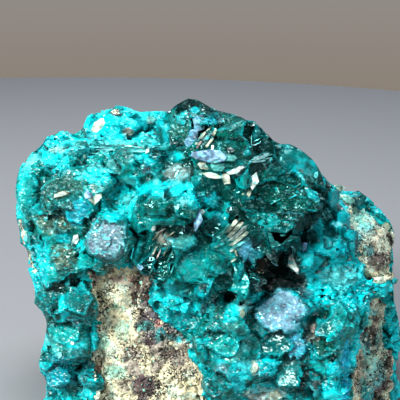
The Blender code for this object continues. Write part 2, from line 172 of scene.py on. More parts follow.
def fineSkin(bm, voxel, rounds, fill=0.0, swell=0.0):
    # an even fine mesh over a solid, with its edges softened and its narrow crevices filled
    mesh = bpy.data.meshes.new("fineSkin")
    bm.to_mesh(mesh)
    bm.free()
    obj = looseObject("fineSkin", mesh)
    for push in ((0.0, fill) if fill else (0.0,)):
        if push:
            grow = obj.modifiers.new("grow", "DISPLACE")
            grow.mid_level = 0.0
            grow.strength = push
        remesh = obj.modifiers.new("even", "REMESH")
        remesh.mode = "VOXEL"
        remesh.voxel_size = voxel
    if fill:
        shrink = obj.modifiers.new("shrink", "DISPLACE")
        shrink.mid_level = 0.0
        shrink.strength = swell - fill
    soften = obj.modifiers.new("soften", "SMOOTH")
    soften.factor = 0.5
    soften.iterations = rounds
    return settled(obj)


def placesOf(mesh):
    flat = np.empty(len(mesh.vertices) * 3)
    mesh.vertices.foreach_get("co", flat)
    return flat.reshape(-1, 3)


def normalsOf(mesh):
    flat = np.empty(len(mesh.vertices) * 3, np.float32)
    mesh.vertex_normals.foreach_get("vector", flat)
    return flat.reshape(-1, 3).astype(float)


def setPlaces(mesh, places):
    mesh.vertices.foreach_set("co", places.astype(np.float32).ravel())
    mesh.update()


def edgesOf(mesh):
    flat = np.empty(len(mesh.edges) * 2, np.int32)
    mesh.edges.foreach_get("vertices", flat)
    return flat.reshape(-1, 2)


def spreadOut(values, edges, rounds):  # each vertex takes on its neighbours' mean
    count = np.zeros(len(values))
    np.add.at(count, edges[:, 0], 1)
    np.add.at(count, edges[:, 1], 1)
    for _ in range(rounds):
        total = np.zeros_like(values)
        np.add.at(total, edges[:, 0], values[edges[:, 1]])
        np.add.at(total, edges[:, 1], values[edges[:, 0]])
        values = total / (count if values.ndim == 1 else count[:, None])
    return values


def bulgeOf(mesh, rounds):  # above 0 on rims, below 0 in crevices
    places, normals, edges = placesOf(mesh), normalsOf(mesh), edgesOf(mesh)
    smooth = spreadOut(places, edges, rounds)
    return ((places - smooth) * normals).sum(1)


facetLook = {"steps": 0.3, "leastSlope": 0.45, "raised": 0.4}  # share of stepped faces, and two guards for steep ones


def facetPush(places, normals, spacing, lean, limit, seed):
    # cuts a surface into flat faces about as wide as the spacing, and gives how far each vertex moves
    rng = np.random.default_rng(seed)
    order = rng.permutation(len(places))
    taken = {}
    for number in order:  # one seed in each small cube of space
        cell = tuple(np.floor(places[number] / spacing).astype(int))
        if cell not in taken:
            taken[cell] = number
    chosen = np.array(list(taken.values()))
    seeds = places[chosen]
    facing = normals[chosen] + rng.normal(0.0, lean, (len(chosen), 3))
    facing /= np.linalg.norm(facing, axis=1, keepdims=True)
    tree = KDTree(len(seeds))
    for number, place in enumerate(seeds):
        tree.insert(place, number)
    tree.balance()
    near = np.array([[found[1] for found in tree.find_n(place, 3)] for place in places])
    away = []
    for k in range(3):
        slope = np.maximum((normals * facing[near[:, k]]).sum(1), facetLook["leastSlope"])
        away.append(((seeds[near[:, k]] - places) * facing[near[:, k]]).sum(1) / slope)
    lowest = np.minimum(np.minimum(away[0], away[1]), away[2]) + facetLook["raised"] * spacing * lean
    stepped = rng.random(len(seeds))[near[:, 0]] < facetLook["steps"]  # some faces end in a step, as broken crystals do
    return np.clip(np.where(stepped, away[0], lowest), -limit, limit)


def colourAttribute(mesh, name, colours):
    layer = mesh.attributes.new(name, "FLOAT_COLOR", "POINT")
    rows = np.concatenate([colours, np.ones((len(colours), 1))], 1)
    layer.data.foreach_set("color", rows.astype(np.float32).ravel())


def numberAttribute(mesh, name, values):
    layer = mesh.attributes.get(name) or mesh.attributes.new(name, "FLOAT", "POINT")
    layer.data.foreach_set("value", np.asarray(values, np.float32))


# Colours by place. A patch is (x pixel, y pixel, half width, half height, colour, strength).

crystalPatches = [
    # top left
    (58, 139, 10, 7, "cyan", 0.9), (57, 150, 8, 3, "cream", 0.6), (124, 122, 40, 16, "brightCyan", 0.8),
    (117, 111, 7, 6, "deep", 0.95), (128, 132, 6, 4, "blush", 0.9), (151, 120, 5, 5, "greyTeal", 0.8),
    (115, 147, 45, 6, "greyTeal", 0.6), (56, 158, 17, 5, "brightCyan", 1.0), (98, 176, 15, 8, "brightCyan", 1.0),
    (172, 156, 13, 5, "brightCyan", 1.0), (146, 160, 14, 6, "brightCyan", 0.8), (168, 190, 34, 9, "brightCyan", 1.0),
    (155, 153, 8, 6, "deep", 0.9), (147, 170, 5, 5, "greyPurple", 0.8), (178, 172, 13, 8, "white", 0.55),
    (126, 160, 10, 5, "greyGreen", 0.7), (84, 162, 8, 5, "greyGreen", 0.8), (128, 182, 9, 5, "greyTeal", 0.7),
    # left side
    (32, 162, 9, 8, "paleCyan", 0.8), (28, 192, 13, 21, "teal", 0.9), (62, 196, 22, 20, "greyGreen", 0.85),
    (62, 180, 10, 6, "bottle", 0.8), (76, 212, 15, 14, "tealBlue", 0.9), (120, 205, 16, 12, "teal", 0.7),
    (52, 217, 15, 3, "black", 0.95), (54, 226, 17, 8, "olive", 0.7), (34, 205, 9, 8, "cyan", 0.6),
    (65, 256, 13, 13, "greyGreen", 0.8), (86, 261, 9, 12, "teal", 0.9), (38, 265, 11, 24, "cyan", 0.9),
    (28, 254, 4, 4, "pink", 0.8), (47, 302, 12, 15, "deepTeal", 0.9), (65, 306, 6, 12, "brightCyan", 0.8),
    (78, 300, 14, 15, "deepTeal", 0.9), (67, 335, 20, 16, "teal", 0.8), (83, 375, 12, 15, "greyPurple", 0.6),
    (43, 368, 5, 8, "brightCyan", 0.8), (58, 375, 14, 20, "tealBlue", 0.8), (76, 350, 9, 10, "cyan", 0.6),
    (113, 217, 10, 6, "cyan", 0.8), (92, 214, 8, 5, "teal", 0.8), (85, 312, 11, 12, "deep", 0.8),
    (83, 372, 12, 20, "deep", 0.8), (70, 352, 8, 6, "deepTeal", 0.7), (60, 390, 14, 8, "deepTeal", 0.8),
    (46, 314, 9, 6, "deep", 0.8), (72, 322, 8, 5, "greyPurple", 0.7), (52, 344, 6, 8, "greyTeal", 0.6),
    (90, 285, 7, 8, "bottle", 0.8), (73, 276, 10, 5, "bottle", 0.7),
    # brow and middle band, with painted black shadow under the brow
    (170, 214, 31, 19, "bottle", 0.95), (152, 226, 13, 10, "teal", 0.8), (176, 234, 26, 12, "black", 0.95),
    (164, 238, 8, 9, "greyBeige", 0.6), (157, 263, 17, 19, "deep", 0.85), (133, 250, 11, 14, "greyGreen", 0.6),
    (186, 243, 13, 7, "greyTeal", 0.85), (192, 267, 17, 20, "teal", 0.85), (170, 291, 7, 9, "cyan", 0.8),
    (182, 306, 8, 14, "cyan", 0.8), (190, 202, 11, 8, "brightCyan", 0.9), (223, 215, 10, 11, "tealBlue", 0.9),
    (209, 235, 9, 10, "deep", 0.8), (232, 236, 16, 15, "deepTeal", 0.7), (246, 251, 7, 12, "lightBlue", 0.8),
    (228, 246, 12, 8, "teal", 0.6),
    # crown, with painted black shadow in its gaps and at its right, and a painted cyan reflection inside the teal dome
    (215, 138, 46, 32, "bottle", 0.9), (285, 196, 44, 34, "bottle", 0.92), (240, 205, 26, 24, "bottle", 0.6),
    (182, 124, 12, 20, "greyGreen", 0.75), (184, 106, 16, 6, "black", 0.9), (228, 109, 30, 5, "deep", 0.9),
    (195, 110, 5, 3, "cyan", 0.9), (213, 120, 10, 4, "tealBlue", 0.9), (232, 134, 17, 14, "bottle", 0.9),
    (182, 142, 13, 7, "teal", 0.8), (207, 140, 10, 12, "deep", 0.8), (264, 145, 14, 26, "deep", 1.0),
    (296, 163, 22, 19, "deepTeal", 0.9), (305, 167, 12, 8, "cyan", 0.9), (290, 203, 34, 18, "deep", 0.55),
    (255, 205, 14, 12, "deep", 0.7), (258, 166, 9, 8, "black", 0.9), (315, 222, 11, 22, "black", 1.0),
    (262, 224, 17, 12, "teal", 0.6), (283, 234, 16, 10, "bottle", 0.9), (237, 184, 9, 9, "teal", 0.9),
    (323, 190, 8, 28, "deep", 0.95), (314, 210, 10, 14, "deep", 0.8), (206, 186, 12, 6, "deepTeal", 0.8),
    (212, 230, 10, 12, "deep", 0.8), (306, 232, 15, 16, "black", 0.85), (324, 208, 7, 16, "black", 0.7),
    (301, 214, 12, 8, "deep", 0.9),
    # hollow, painted black as its shadow
    (270, 262, 31, 27, "black", 1.0), (290, 278, 23, 17, "black", 1.0), (252, 284, 13, 11, "black", 0.9),
    (305, 293, 8, 6, "greyPurple", 0.8), (262, 252, 6, 4, "deepTeal", 0.7), (276, 290, 12, 4, "deepTeal", 0.6),
    # right shoulder and flank
    (344, 220, 20, 30, "cyan", 0.9), (326, 252, 15, 9, "cyan", 0.9), (341, 212, 9, 8, "brightCyan", 0.9),
    (334, 200, 6, 8, "cyan", 0.9), (334, 236, 5, 5, "deep", 0.8), (345, 228, 4, 4, "deep", 0.8),
    (329, 222, 6, 9, "deep", 0.8), (348, 240, 3, 3, "black", 0.8), (344, 250, 8, 6, "blueCyan", 0.8),
    (326, 248, 8, 5, "brightCyan", 0.9), (340, 282, 42, 26, "brightCyan", 0.85), (340, 276, 20, 10, "paleCyan", 0.75),
    (356, 246, 8, 7, "greyPurple", 0.5), (320, 262, 14, 8, "brightCyan", 0.9), (352, 300, 20, 10, "cyan", 0.9),
    # round the coated crystal, and below it
    (282, 313, 34, 30, "cyan", 0.85), (296, 347, 12, 12, "blueCyan", 0.9), (276, 346, 14, 14, "deepTeal", 0.95),
    (271, 362, 14, 18, "cyan", 0.9), (255, 368, 6, 7, "cream", 0.5), (294, 378, 17, 24, "deep", 0.75),
    (284, 368, 8, 12, "bottle", 0.8), (327, 339, 20, 22, "bottle", 0.85), (337, 332, 6, 7, "tealBlue", 0.9),
    (313, 356, 6, 6, "cyan", 0.9), (336, 369, 9, 9, "cyan", 0.9), (332, 391, 13, 11, "brightCyan", 0.9),
    (266, 394, 20, 6, "white", 0.6), (312, 332, 8, 12, "blush", 0.5), (300, 341, 6, 6, "black", 0.9),
    (318, 372, 7, 9, "teal", 0.8), (340, 348, 6, 9, "teal", 0.8), (262, 380, 12, 5, "deepTeal", 0.7),
    (234, 353, 9, 10, "greyTeal", 0.8), (246, 345, 6, 8, "paleCyan", 0.6), (222, 372, 9, 8, "slate", 0.6),
    (238, 385, 9, 8, "cyan", 0.8), (228, 330, 9, 9, "greyTeal", 0.6), (252, 330, 7, 12, "teal", 0.8),
    (244, 366, 8, 6, "paleCyan", 0.6), (340, 316, 9, 13, "teal", 0.9),
    # lower middle
    (206, 309, 6, 9, "greyPurple", 0.8), (213, 318, 9, 17, "greyGreen", 0.8), (229, 296, 7, 7, "black", 0.95),
    (232, 312, 8, 8, "brightCyan", 0.95), (246, 307, 7, 7, "white", 0.6), (245, 287, 5, 12, "teal", 0.9),
    (225, 345, 18, 14, "teal", 0.7), (240, 372, 12, 12, "cyan", 0.7), (215, 385, 12, 12, "deepTeal", 0.7),
    (396, 350, 5, 50, "cyan", 0.8), (346, 372, 5, 30, "blueCyan", 0.9),
    # over all the rest: the darkest gaps, painted black as shadow, then the wedge over the hollow and the shoulder
    # beside it
    (262, 268, 14, 18, "black", 1.0), (280, 257, 15, 13, "black", 1.0), (284, 280, 21, 9, "black", 1.0),
    (300, 284, 9, 10, "black", 0.9), (268, 285, 15, 7, "black", 1.0), (305, 294, 6, 5, "greyPurple", 0.8),
    (165, 227, 14, 5, "black", 1.0), (186, 222, 14, 5, "black", 1.0), (176, 232, 9, 7, "black", 0.9),
    (306, 234, 6, 13, "black", 0.95), (315, 213, 5, 11, "black", 0.9), (228, 296, 6, 6, "black", 0.95),
    (52, 217, 14, 3, "black", 0.9), (300, 342, 4, 4, "black", 0.9), (300, 392, 8, 12, "deep", 0.8),
    (268, 322, 3, 14, "deep", 0.6), (281, 236, 17, 10, "deepTeal", 0.9), (272, 242, 8, 6, "bottle", 0.8),
    (325, 232, 12, 15, "cyan", 0.85), (336, 215, 9, 10, "cyan", 0.8), (316, 250, 10, 7, "brightCyan", 0.8),
    (341, 247, 9, 10, "cyan", 0.7), (328, 222, 4, 5, "deepTeal", 0.8), (319, 240, 4, 3, "deep", 0.7),
    (334, 236, 5, 3, "deepTeal", 0.8), (345, 226, 4, 6, "deepTeal", 0.6),
]

rockPatches = [
    # the cream window at the lower front
    (122, 279, 12, 5, "pink", 0.45), (115, 306, 4, 3, "green", 0.7), (103, 342, 8, 8, "mint", 0.6),
    (115, 372, 11, 8, "mint", 0.6), (100, 368, 4, 3, "pink", 0.6), (143, 289, 13, 21, "maroon", 0.85),
    (99, 271, 13, 4, "blackBrown", 0.85), (166, 327, 30, 18, "greyMauve", 0.8), (152, 316, 10, 8, "maroon", 0.7),
    (172, 338, 12, 5, "deepTeal", 0.8), (146, 326, 9, 5, "teal", 0.7), (158, 338, 6, 5, "teal", 0.7),
    (140, 340, 6, 4, "maroon", 0.6), (159, 324, 4, 4, "pink", 0.8), (176, 322, 8, 5, "cyan", 0.8),
    (150, 341, 8, 4, "purpleBrown", 0.8), (186, 348, 8, 6, "maroon", 0.7), (170, 352, 9, 5, "maroon", 0.5),
    (122, 330, 8, 10, "mint", 0.3), (161, 331, 5, 4, "cyan", 0.8), (180, 340, 5, 3, "cyan", 0.8),
    (144, 388, 12, 14, "purpleBrown", 0.9), (206, 356, 11, 15, "greyBeige", 0.7),
    (150, 312, 10, 10, "greyMauve", 0.7), (185, 365, 12, 12, "greyBeige", 0.5),
    # the dark strip at the right
    (372, 350, 26, 52, "greyBeige", 0.8), (389, 330, 3, 11, "black", 0.9), (384, 345, 5, 4, "rust", 0.8),
    (370, 372, 5, 3, "rust", 0.8), (371, 362, 8, 14, "mint", 0.5), (362, 330, 4, 10, "purpleBrown", 0.7),
    (377, 318, 5, 5, "blackBrown", 0.8), (366, 345, 5, 12, "cyan", 0.6), (380, 384, 8, 10, "purpleBrown", 0.8),
    (374, 398, 10, 6, "blackBrown", 0.8), (364, 388, 5, 10, "teal", 0.7), (386, 362, 5, 8, "blackBrown", 0.8),
    (369, 336, 7, 14, "black", 0.75), (387, 318, 4, 8, "black", 0.7), (364, 366, 4, 7, "black", 0.6),
    (383, 354, 6, 6, "cream", 0.6), (376, 374, 10, 14, "paleCyan", 0.5), (368, 394, 6, 8, "cyan", 0.6),
    (380, 340, 6, 12, "greyTeal", 0.6), (384, 326, 5, 6, "mint", 0.6), (372, 312, 6, 4, "cyan", 0.5),
    (379, 308, 7, 4, "cream", 0.6), (368, 322, 4, 5, "mint", 0.7),
    # the pale knob
    (362, 205, 22, 12, "paleRock", 0.95), (352, 190, 22, 7, "paleRock", 0.95), (374, 214, 12, 8, "mint", 0.7),
    (348, 204, 5, 3, "deepTeal", 0.9), (349, 199, 8, 4, "mint", 0.8), (358, 214, 8, 8, "mint", 0.7),
    (380, 250, 11, 16, "blush", 0.6), (377, 262, 10, 10, "purpleBrown", 0.7), (362, 235, 12, 10, "paleRock", 0.9),
    (389, 240, 4, 8, "blackBrown", 0.9), (385, 238, 3, 3, "black", 0.9), (383, 246, 6, 8, "cream", 0.8),
    (354, 240, 8, 7, "cyan", 0.8), (366, 226, 7, 5, "paleCyan", 0.7), (349, 215, 3, 3, "purpleBrown", 0.9),
    (374, 231, 5, 4, "purpleBrown", 0.6), (368, 250, 6, 6, "cyan", 0.6), (392, 262, 5, 8, "purpleBrown", 0.8),
    (364, 222, 16, 14, "paleCyan", 0.35),
    # by the ridge, and at the left edge
    (97, 126, 12, 13, "rock", 1.0), (20, 232, 10, 14, "paleRock", 0.7), (24, 240, 4, 4, "pink", 0.8),
    (21, 227, 4, 5, "maroon", 0.7), (19, 240, 3, 4, "blackBrown", 0.7),
]

backLook = {"wave": 7.0, "fine": 2.6}  # how the colours change where the photograph doesn't see


def seenShare(places, normals, full=0.14):  # 1 where a surface faces the camera
    sight = places - eye
    sight /= np.linalg.norm(sight, axis=1, keepdims=True)
    return smoothStep(-0.05, full, -(sight * normals).sum(1))


def patchShares(places, pixels, patches, facing):
    edge = 0.22 * noiseField(places, 1.5, 3.1) + 0.26 * noiseField(places, 0.7, 4.7)
    shares = []
    for px, py, wide, high, colour, strength in patches:
        reach = np.hypot((pixels[:, 0] - px) / wide, (pixels[:, 1] - py) / high) + edge
        seen = np.clip(3.0 * facing, 0.0, 1.0) if colour == "black" else facing  # painted shadow in gaps stays dark at every slant
        shares.append(smoothStep(1.16, 0.84, reach) * strength * seen)
    return shares


def painted(places, normals, ramp, patches, facing=None):
    # a colour for each vertex: a slow change along the ramp, then the patches that the front shows
    if facing is None:
        facing = seenShare(places, normals, 0.12)
    slow = noiseField(places, backLook["wave"], 0.4) + 0.7 * noiseField(places, backLook["fine"], 1.3)
    stops = np.linspace(-0.62, 0.62, len(ramp))
    table = np.array([linear(name) for name in ramp])
    colours = np.stack([np.interp(slow, stops, table[:, k]) for k in range(3)], 1)
    for share, patch in zip(patchShares(places, pixelsOf(places), patches, facing), patches):
        colours += share[:, None] * (linear(patch[4]) - colours)
    return colours


# The specimen's outline in the photograph, in pixels, from its lower left round to its lower right.
outline = [
    (30, 470), (46, 398), (45, 388), (47, 380), (40, 372), (38, 360), (41, 350), (45, 338), (47, 322), (42, 312),
    (34, 303), (35, 290), (32, 280), (27, 271), (26, 261), (29, 251), (20, 243), (20, 230), (16, 218), (15, 192),
    (16, 180), (19, 169), (24, 159), (32, 152), (41, 149), (44, 141), (49, 134), (56, 130), (64, 129), (71, 134),
    (80, 134), (84, 123), (88, 115), (96, 111), (104, 107), (115, 104), (128, 107), (140, 112), (156, 111),
    (168, 110), (174, 106), (181, 101), (188, 98), (198, 100), (208, 105), (218, 110), (232, 113), (242, 117),
    (249, 121), (253, 119), (258, 123), (264, 130), (271, 138), (278, 143), (288, 143), (296, 147), (305, 153),
    (313, 160), (320, 169), (326, 178), (330, 183), (337, 186), (344, 191), (352, 191), (362, 193), (370, 196),
    (376, 203), (382, 211), (390, 221), (395, 234), (393, 248), (395, 262), (393, 280), (394, 300), (398, 318),
    (402, 340), (406, 400), (430, 470),
]
outlineBand = 3.0  # pixels inside the outline over which the surface gives way
outlineFoot = (0.3, 1.5)  # between these heights in millimetres it starts to; the base stays as it is


def insideOutline(pixels, corners):
    within = np.zeros(len(pixels), bool)
    for (x1, y1), (x2, y2) in zip(corners, corners[1:] + corners[:1]):
        if y1 == y2:
            continue
        crosses = (y1 > pixels[:, 1]) != (y2 > pixels[:, 1])
        within ^= crosses & (pixels[:, 0] < x1 + (x2 - x1) * (pixels[:, 1] - y1) / (y2 - y1))
    return within


def trimmed(places):  # draws what stands out past the outline in to it
    pixels = pixelsOf(places)
    corners = np.array(outline, float)
    best = np.full(len(pixels), 1e9)
    nearest = np.zeros_like(pixels)
    for start, end in zip(corners, np.roll(corners, -1, 0)):
        along = np.clip((pixels - start) @ (end - start) / ((end - start) @ (end - start)), 0.0, 1.0)
        foot = start + along[:, None] * (end - start)
        far = np.hypot(*(pixels - foot).T)
        closer = far < best
        best[closer] = far[closer]
        nearest[closer] = foot[closer]
    signed = np.where(insideOutline(pixels, outline), -best, best)
    goal = np.where(signed > -outlineBand, -outlineBand * np.exp(-(signed + outlineBand) / outlineBand), signed)
    outward = (pixels - nearest) / np.where(np.abs(signed) > 1e-6, signed, 1.0)[:, None]
    shift = outward * (goal - signed)[:, None] * smoothStep(*outlineFoot, places[:, 2])[:, None]
    depth = (places - eye) @ forward
    return places + (shift[:, :1] * np.array([1.0, 0.0, 0.0]) - shift[:, 1:] * upward) * (depth / focal)[:, None]


# Where the crust is missing, as outlines in pixels, and as balls (x, y, z, radius) in millimetres.
bareWindows = {
    "creamRock": [
        (90, 273), (112, 266), (142, 267), (150, 280), (147, 303), (157, 318), (176, 328), (188, 340), (187, 354),
        (203, 375), (206, 480), (84, 480), (96, 412), (92, 360), (97, 316),
    ],
    "darkStrip": [
        (372, 301), (386, 302), (391, 330), (396, 365), (399, 480), (346, 480), (351, 395), (358, 345), (365, 318),
    ],
    "leftEdge": [(0, 219), (25, 220), (27, 233), (25, 245), (0, 247)],
    "paleKnob": [
        (333, 178), (352, 182), (430, 190), (430, 276), (376, 283), (364, 262), (352, 244), (350, 222), (341, 200),
    ],
}
windowFloor = {"creamRock": -5.0, "darkStrip": -9.0, "leftEdge": 6.0, "paleKnob": 2.0}  # how far back each reaches
bareBalls = [(-31.96, -7.4, 26.0, 3.8), (-18.46, 8.6, 47.0, 2.9), (12.04, 20.6, 8.0, 8.2), (-16.96, 20.1, 33.0, 5.7)]


def bareShare(places):
    pixels = pixelsOf(places) + 2.2 * np.stack([noiseField(places, 1.6, 5.0), noiseField(places, 1.6, 6.0)], 1)
    bare = np.zeros(len(places), bool)
    for name, corners in bareWindows.items():
        bare |= insideOutline(pixels, corners) & (places[:, 1] < windowFloor[name])
    for x, y, z, radius in bareBalls:
        wobble = 1.0 + 0.25 * noiseField(places, 2.2, 7.0)
        bare |= np.linalg.norm(places - np.array([x, y, z]), axis=1) < radius * wobble
    return bare | (places[:, 2] < 0.02)


# Shader nodes

def put(tree, kind, inputs=None, **settings):
    made = tree.nodes.new(kind)
    for key, value in settings.items():
        setattr(made, key, value)
    for key, value in (inputs or {}).items():
        if isinstance(value, bpy.types.NodeSocket):
            tree.links.new(value, made.inputs[key])
        else:
            made.inputs[key].default_value = value
    return made


def maths(tree, operation, first, second=0.0, third=0.0):
    return put(tree, "ShaderNodeMath", {0: first, 1: second, 2: third}, operation=operation).outputs[0]


def product(tree, value, *others):
    for other in others:
        value = maths(tree, "MULTIPLY", value, other)
    return value


def ranged(tree, value, low, high, start, end):
    sockets = {"Value": value, "From Min": low, "From Max": high, "To Min": start, "To Max": end}
    return put(tree, "ShaderNodeMapRange", sockets).outputs[0]


def blended(tree, share, first, second, mode="MIX"):
    sockets = {0: share, 6: first, 7: second}
    return put(tree, "ShaderNodeMix", sockets, data_type="RGBA", blend_type=mode).outputs[2]


def newGroup(name, inputs, outputs):
    group = bpy.data.node_groups.new(name, "ShaderNodeTree")
    for label, kind, value in inputs:
        socket = group.interface.new_socket(label, in_out="INPUT", socket_type="NodeSocket" + kind)
        if value is not None:
            socket.default_value = value
    for label, kind in outputs:
        group.interface.new_socket(label, in_out="OUTPUT", socket_type="NodeSocket" + kind)
    return group, group.nodes.new("NodeGroupInput").outputs, group.nodes.new("NodeGroupOutput").inputs


def makeBrokenFaces():  # small flat faces at all angles, as in broken crystal
    group, given, result = newGroup(
        "brokenFaces",
        [("Vector", "Vector", None), ("Size", "Float", 1.0), ("Lean", "Float", 0.5)],
        [("Height", "Float"), ("Tone", "Float")],
    )
    scale = maths(group, "DIVIDE", 1.0, given["Size"])
    wobble = put(group, "ShaderNodeTexNoise", {"Vector": given["Vector"], "Scale": scale, "Detail": 1.0})
    reach = maths(group, "MULTIPLY", given["Size"], 0.5)
    shift = put(group, "ShaderNodeVectorMath", {0: wobble.outputs["Color"], "Scale": reach}, operation="SCALE")
    where = put(group, "ShaderNodeVectorMath", {0: given["Vector"], 1: shift.outputs[0]}, operation="ADD").outputs[0]
    cells = put(group, "ShaderNodeTexVoronoi", {"Vector": where, "Scale": scale})
    local = put(group, "ShaderNodeVectorMath", {0: where, 1: cells.outputs["Position"]}, operation="SUBTRACT")
    slope = put(group, "ShaderNodeVectorMath", {0: cells.outputs["Color"], 1: (0.5, 0.5, 0.5)}, operation="SUBTRACT")
    rise = put(group, "ShaderNodeVectorMath", {0: local.outputs[0], 1: slope.outputs[0]}, operation="DOT_PRODUCT")
    group.links.new(maths(group, "MULTIPLY", rise.outputs["Value"], given["Lean"]), result["Height"])
    group.links.new(put(group, "ShaderNodeSeparateColor", {0: cells.outputs["Color"]}).outputs[0], result["Tone"])
    return group


def makeFlecks():  # scattered specks, more of them as the amount nears 1
    group, given, result = newGroup(
        "flecks",
        [("Vector", "Vector", None), ("Size", "Float", 0.4), ("Amount", "Float", 0.3), ("Shift", "Float", 0.0)],
        [("Mask", "Float")],
    )
    scale = maths(group, "DIVIDE", 1.0, given["Size"])
    moved = put(group, "ShaderNodeVectorMath", {0: given["Vector"], 1: given["Shift"]}, operation="ADD").outputs[0]
    pattern = put(group, "ShaderNodeTexNoise", {"Vector": moved, "Scale": scale, "Detail": 2.5, "Roughness": 0.6})
    edge = ranged(group, given["Amount"], 0.0, 1.0, 0.72, 0.38)
    past = maths(group, "SUBTRACT", pattern.outputs[0], edge)
    group.links.new(ranged(group, past, 0.0, 0.06, 0.0, 1.0), result["Mask"])
    return group


groups = {"brokenFaces": makeBrokenFaces(), "flecks": makeFlecks()}


def grouped(tree, name, **inputs):
    return put(tree, "ShaderNodeGroup", inputs, node_tree=groups[name]).outputs


def stored(tree, name, socket="Fac"):  # a vertex attribute
    return put(tree, "ShaderNodeAttribute", attribute_name=name).outputs[socket]


def newMaterial(name):
    material = bpy.data.materials.new(name)
    material.use_nodes = True
    tree = material.node_tree
    tree.nodes.clear()
    output = tree.nodes.new("ShaderNodeOutputMaterial")
    shader = tree.nodes.new("ShaderNodeBsdfPrincipled")
    tree.links.new(shader.outputs[0], output.inputs["Surface"])
    coords = put(tree, "ShaderNodeTexCoord").outputs["Object"]
    where = put(tree, "ShaderNodeVectorMath", {0: coords, "Scale": perMetre}, operation="SCALE").outputs[0]
    return material, tree, shader, output, where


def noiseAt(tree, where, wave, detail=4.0, roughness=0.6):
    sockets = {"Vector": where, "Scale": 1.0 / wave, "Detail": detail, "Roughness": roughness}
    return put(tree, "ShaderNodeTexNoise", sockets).outputs[0]


def colourOf(name):
    return (*[float(v) for v in linear(name)], 1.0)


def bumped(tree, height, strength, normal=None):
    sockets = {"Height": height, "Strength": strength, "Distance": 1.0 / perMetre}
    if normal is not None:
        sockets["Normal"] = normal
    return put(tree, "ShaderNodeBump", sockets).outputs[0]


mineralLook = {
    "clear": {"transmission": 0.38, "rough": (0.04, 0.20), "veil": (0.55, 1.25), "density": 160.0, "coarse": 0.62,
              "web": 0.12, "paintedGlintFrom": 0.94, "ior": 1.66, "glint": 0.34, "warm": 0.45},
    "cloudy": {"transmission": 0.16, "rough": (0.06, 0.32), "veil": (0.58, 1.26), "density": 260.0, "coarse": 1.0,
               "web": 0.4, "paintedGlintFrom": 0.90, "ior": 1.62, "glint": 0.34, "warm": 0.8},
    "crust": {"transmission": 0.0, "rough": (0.12, 0.55), "veil": (0.62, 1.20), "coarse": 1.05, "web": 0.5,
              "paintedGlintFrom": 0.88, "ior": 1.5, "glint": 0.38, "warm": 0.9},
    "coated": {"transmission": 0.0, "rough": (0.34, 0.62), "veil": (0.66, 1.24), "coarse": 0.8, "web": 0.0,
               "paintedGlintFrom": 0.95, "ior": 1.5, "glint": 0.4, "warm": 0.9},
}
cellPlan = {"big": (1.3, 0.9), "small": (0.62, 1.0), "tiny": (0.34, 1.2)}  # size and lean of the broken faces
absorbed = (0.0, 0.80, 0.78, 1.0)


def greyOf(tree, strength):
    return put(tree, "ShaderNodeCombineColor", {i: strength for i in range(3)}).outputs[0]


def mineralColour(tree, where, look, cells, rugged, lit, tint):
    bulge = stored(tree, "bulge")
    big, small, tiny = (cells[name]["Tone"] for name in cellPlan)
    # each broken face is a little lighter or darker
    shade = ranged(tree, noiseAt(tree, where, 2.3, 6.0, 0.64), 0.34, 0.66, *look["veil"])
    tones = maths(tree, "ADD", product(tree, ranged(tree, small, 0.0, 1.0, -0.32, 0.34), rugged),
                  product(tree, ranged(tree, tiny, 0.0, 1.0, -0.26, 0.30), rugged))
    tones = maths(tree, "ADD", tones, ranged(tree, big, 0.0, 1.0, 0.78, 1.22))
    tinted = blended(tree, 1.0, tint, greyOf(tree, product(tree, shade, tones)), "MULTIPLY")
    # thin bright veins, pale flakes, dark chips, tiny white cells as painted glints, pale rims and painted shade in
    # crevices; the black painted shadow in gaps stays plain
    plain = ranged(tree, lit, 0.0, 1.0, 0.15, 1.0)
    vein = maths(tree, "ABSOLUTE", maths(tree, "SUBTRACT", noiseAt(tree, where, 1.7, 5.0, 0.62), 0.5))
    veined = ranged(tree, noiseAt(tree, where, 4.2, 2.0), 0.45, 0.62, 0.0, 1.0)
    swarm = product(tree, ranged(tree, noiseAt(tree, where, 2.9, 3.0), 0.42, 0.60, 0.1, 1.0), rugged, plain)
    paintedGlintFrom = look["paintedGlintFrom"]
    for mask, colour in (
        (product(tree, ranged(tree, vein, 0.022, 0.006, 0.0, look["web"]), veined, lit), "brightCyan"),
        (product(tree, ranged(tree, small, 0.84, 0.90, 0.0, 0.75), swarm), "brightCyan"),
        (product(tree, ranged(tree, small, 0.14, 0.08, 0.0, 0.55), swarm), "deep"),
        (product(tree, ranged(tree, tiny, paintedGlintFrom, paintedGlintFrom + 0.02, 0.0, 0.75), swarm), "white"),
        (product(tree, ranged(tree, bulge, 0.03, 0.14, 0.0, 0.35), lit), "cyan"),
        (ranged(tree, bulge, -0.05, -0.18, 0.0, 0.7), "deep"),
    ):
        tinted = blended(tree, mask, tinted, colourOf(colour))
    return tinted, plain


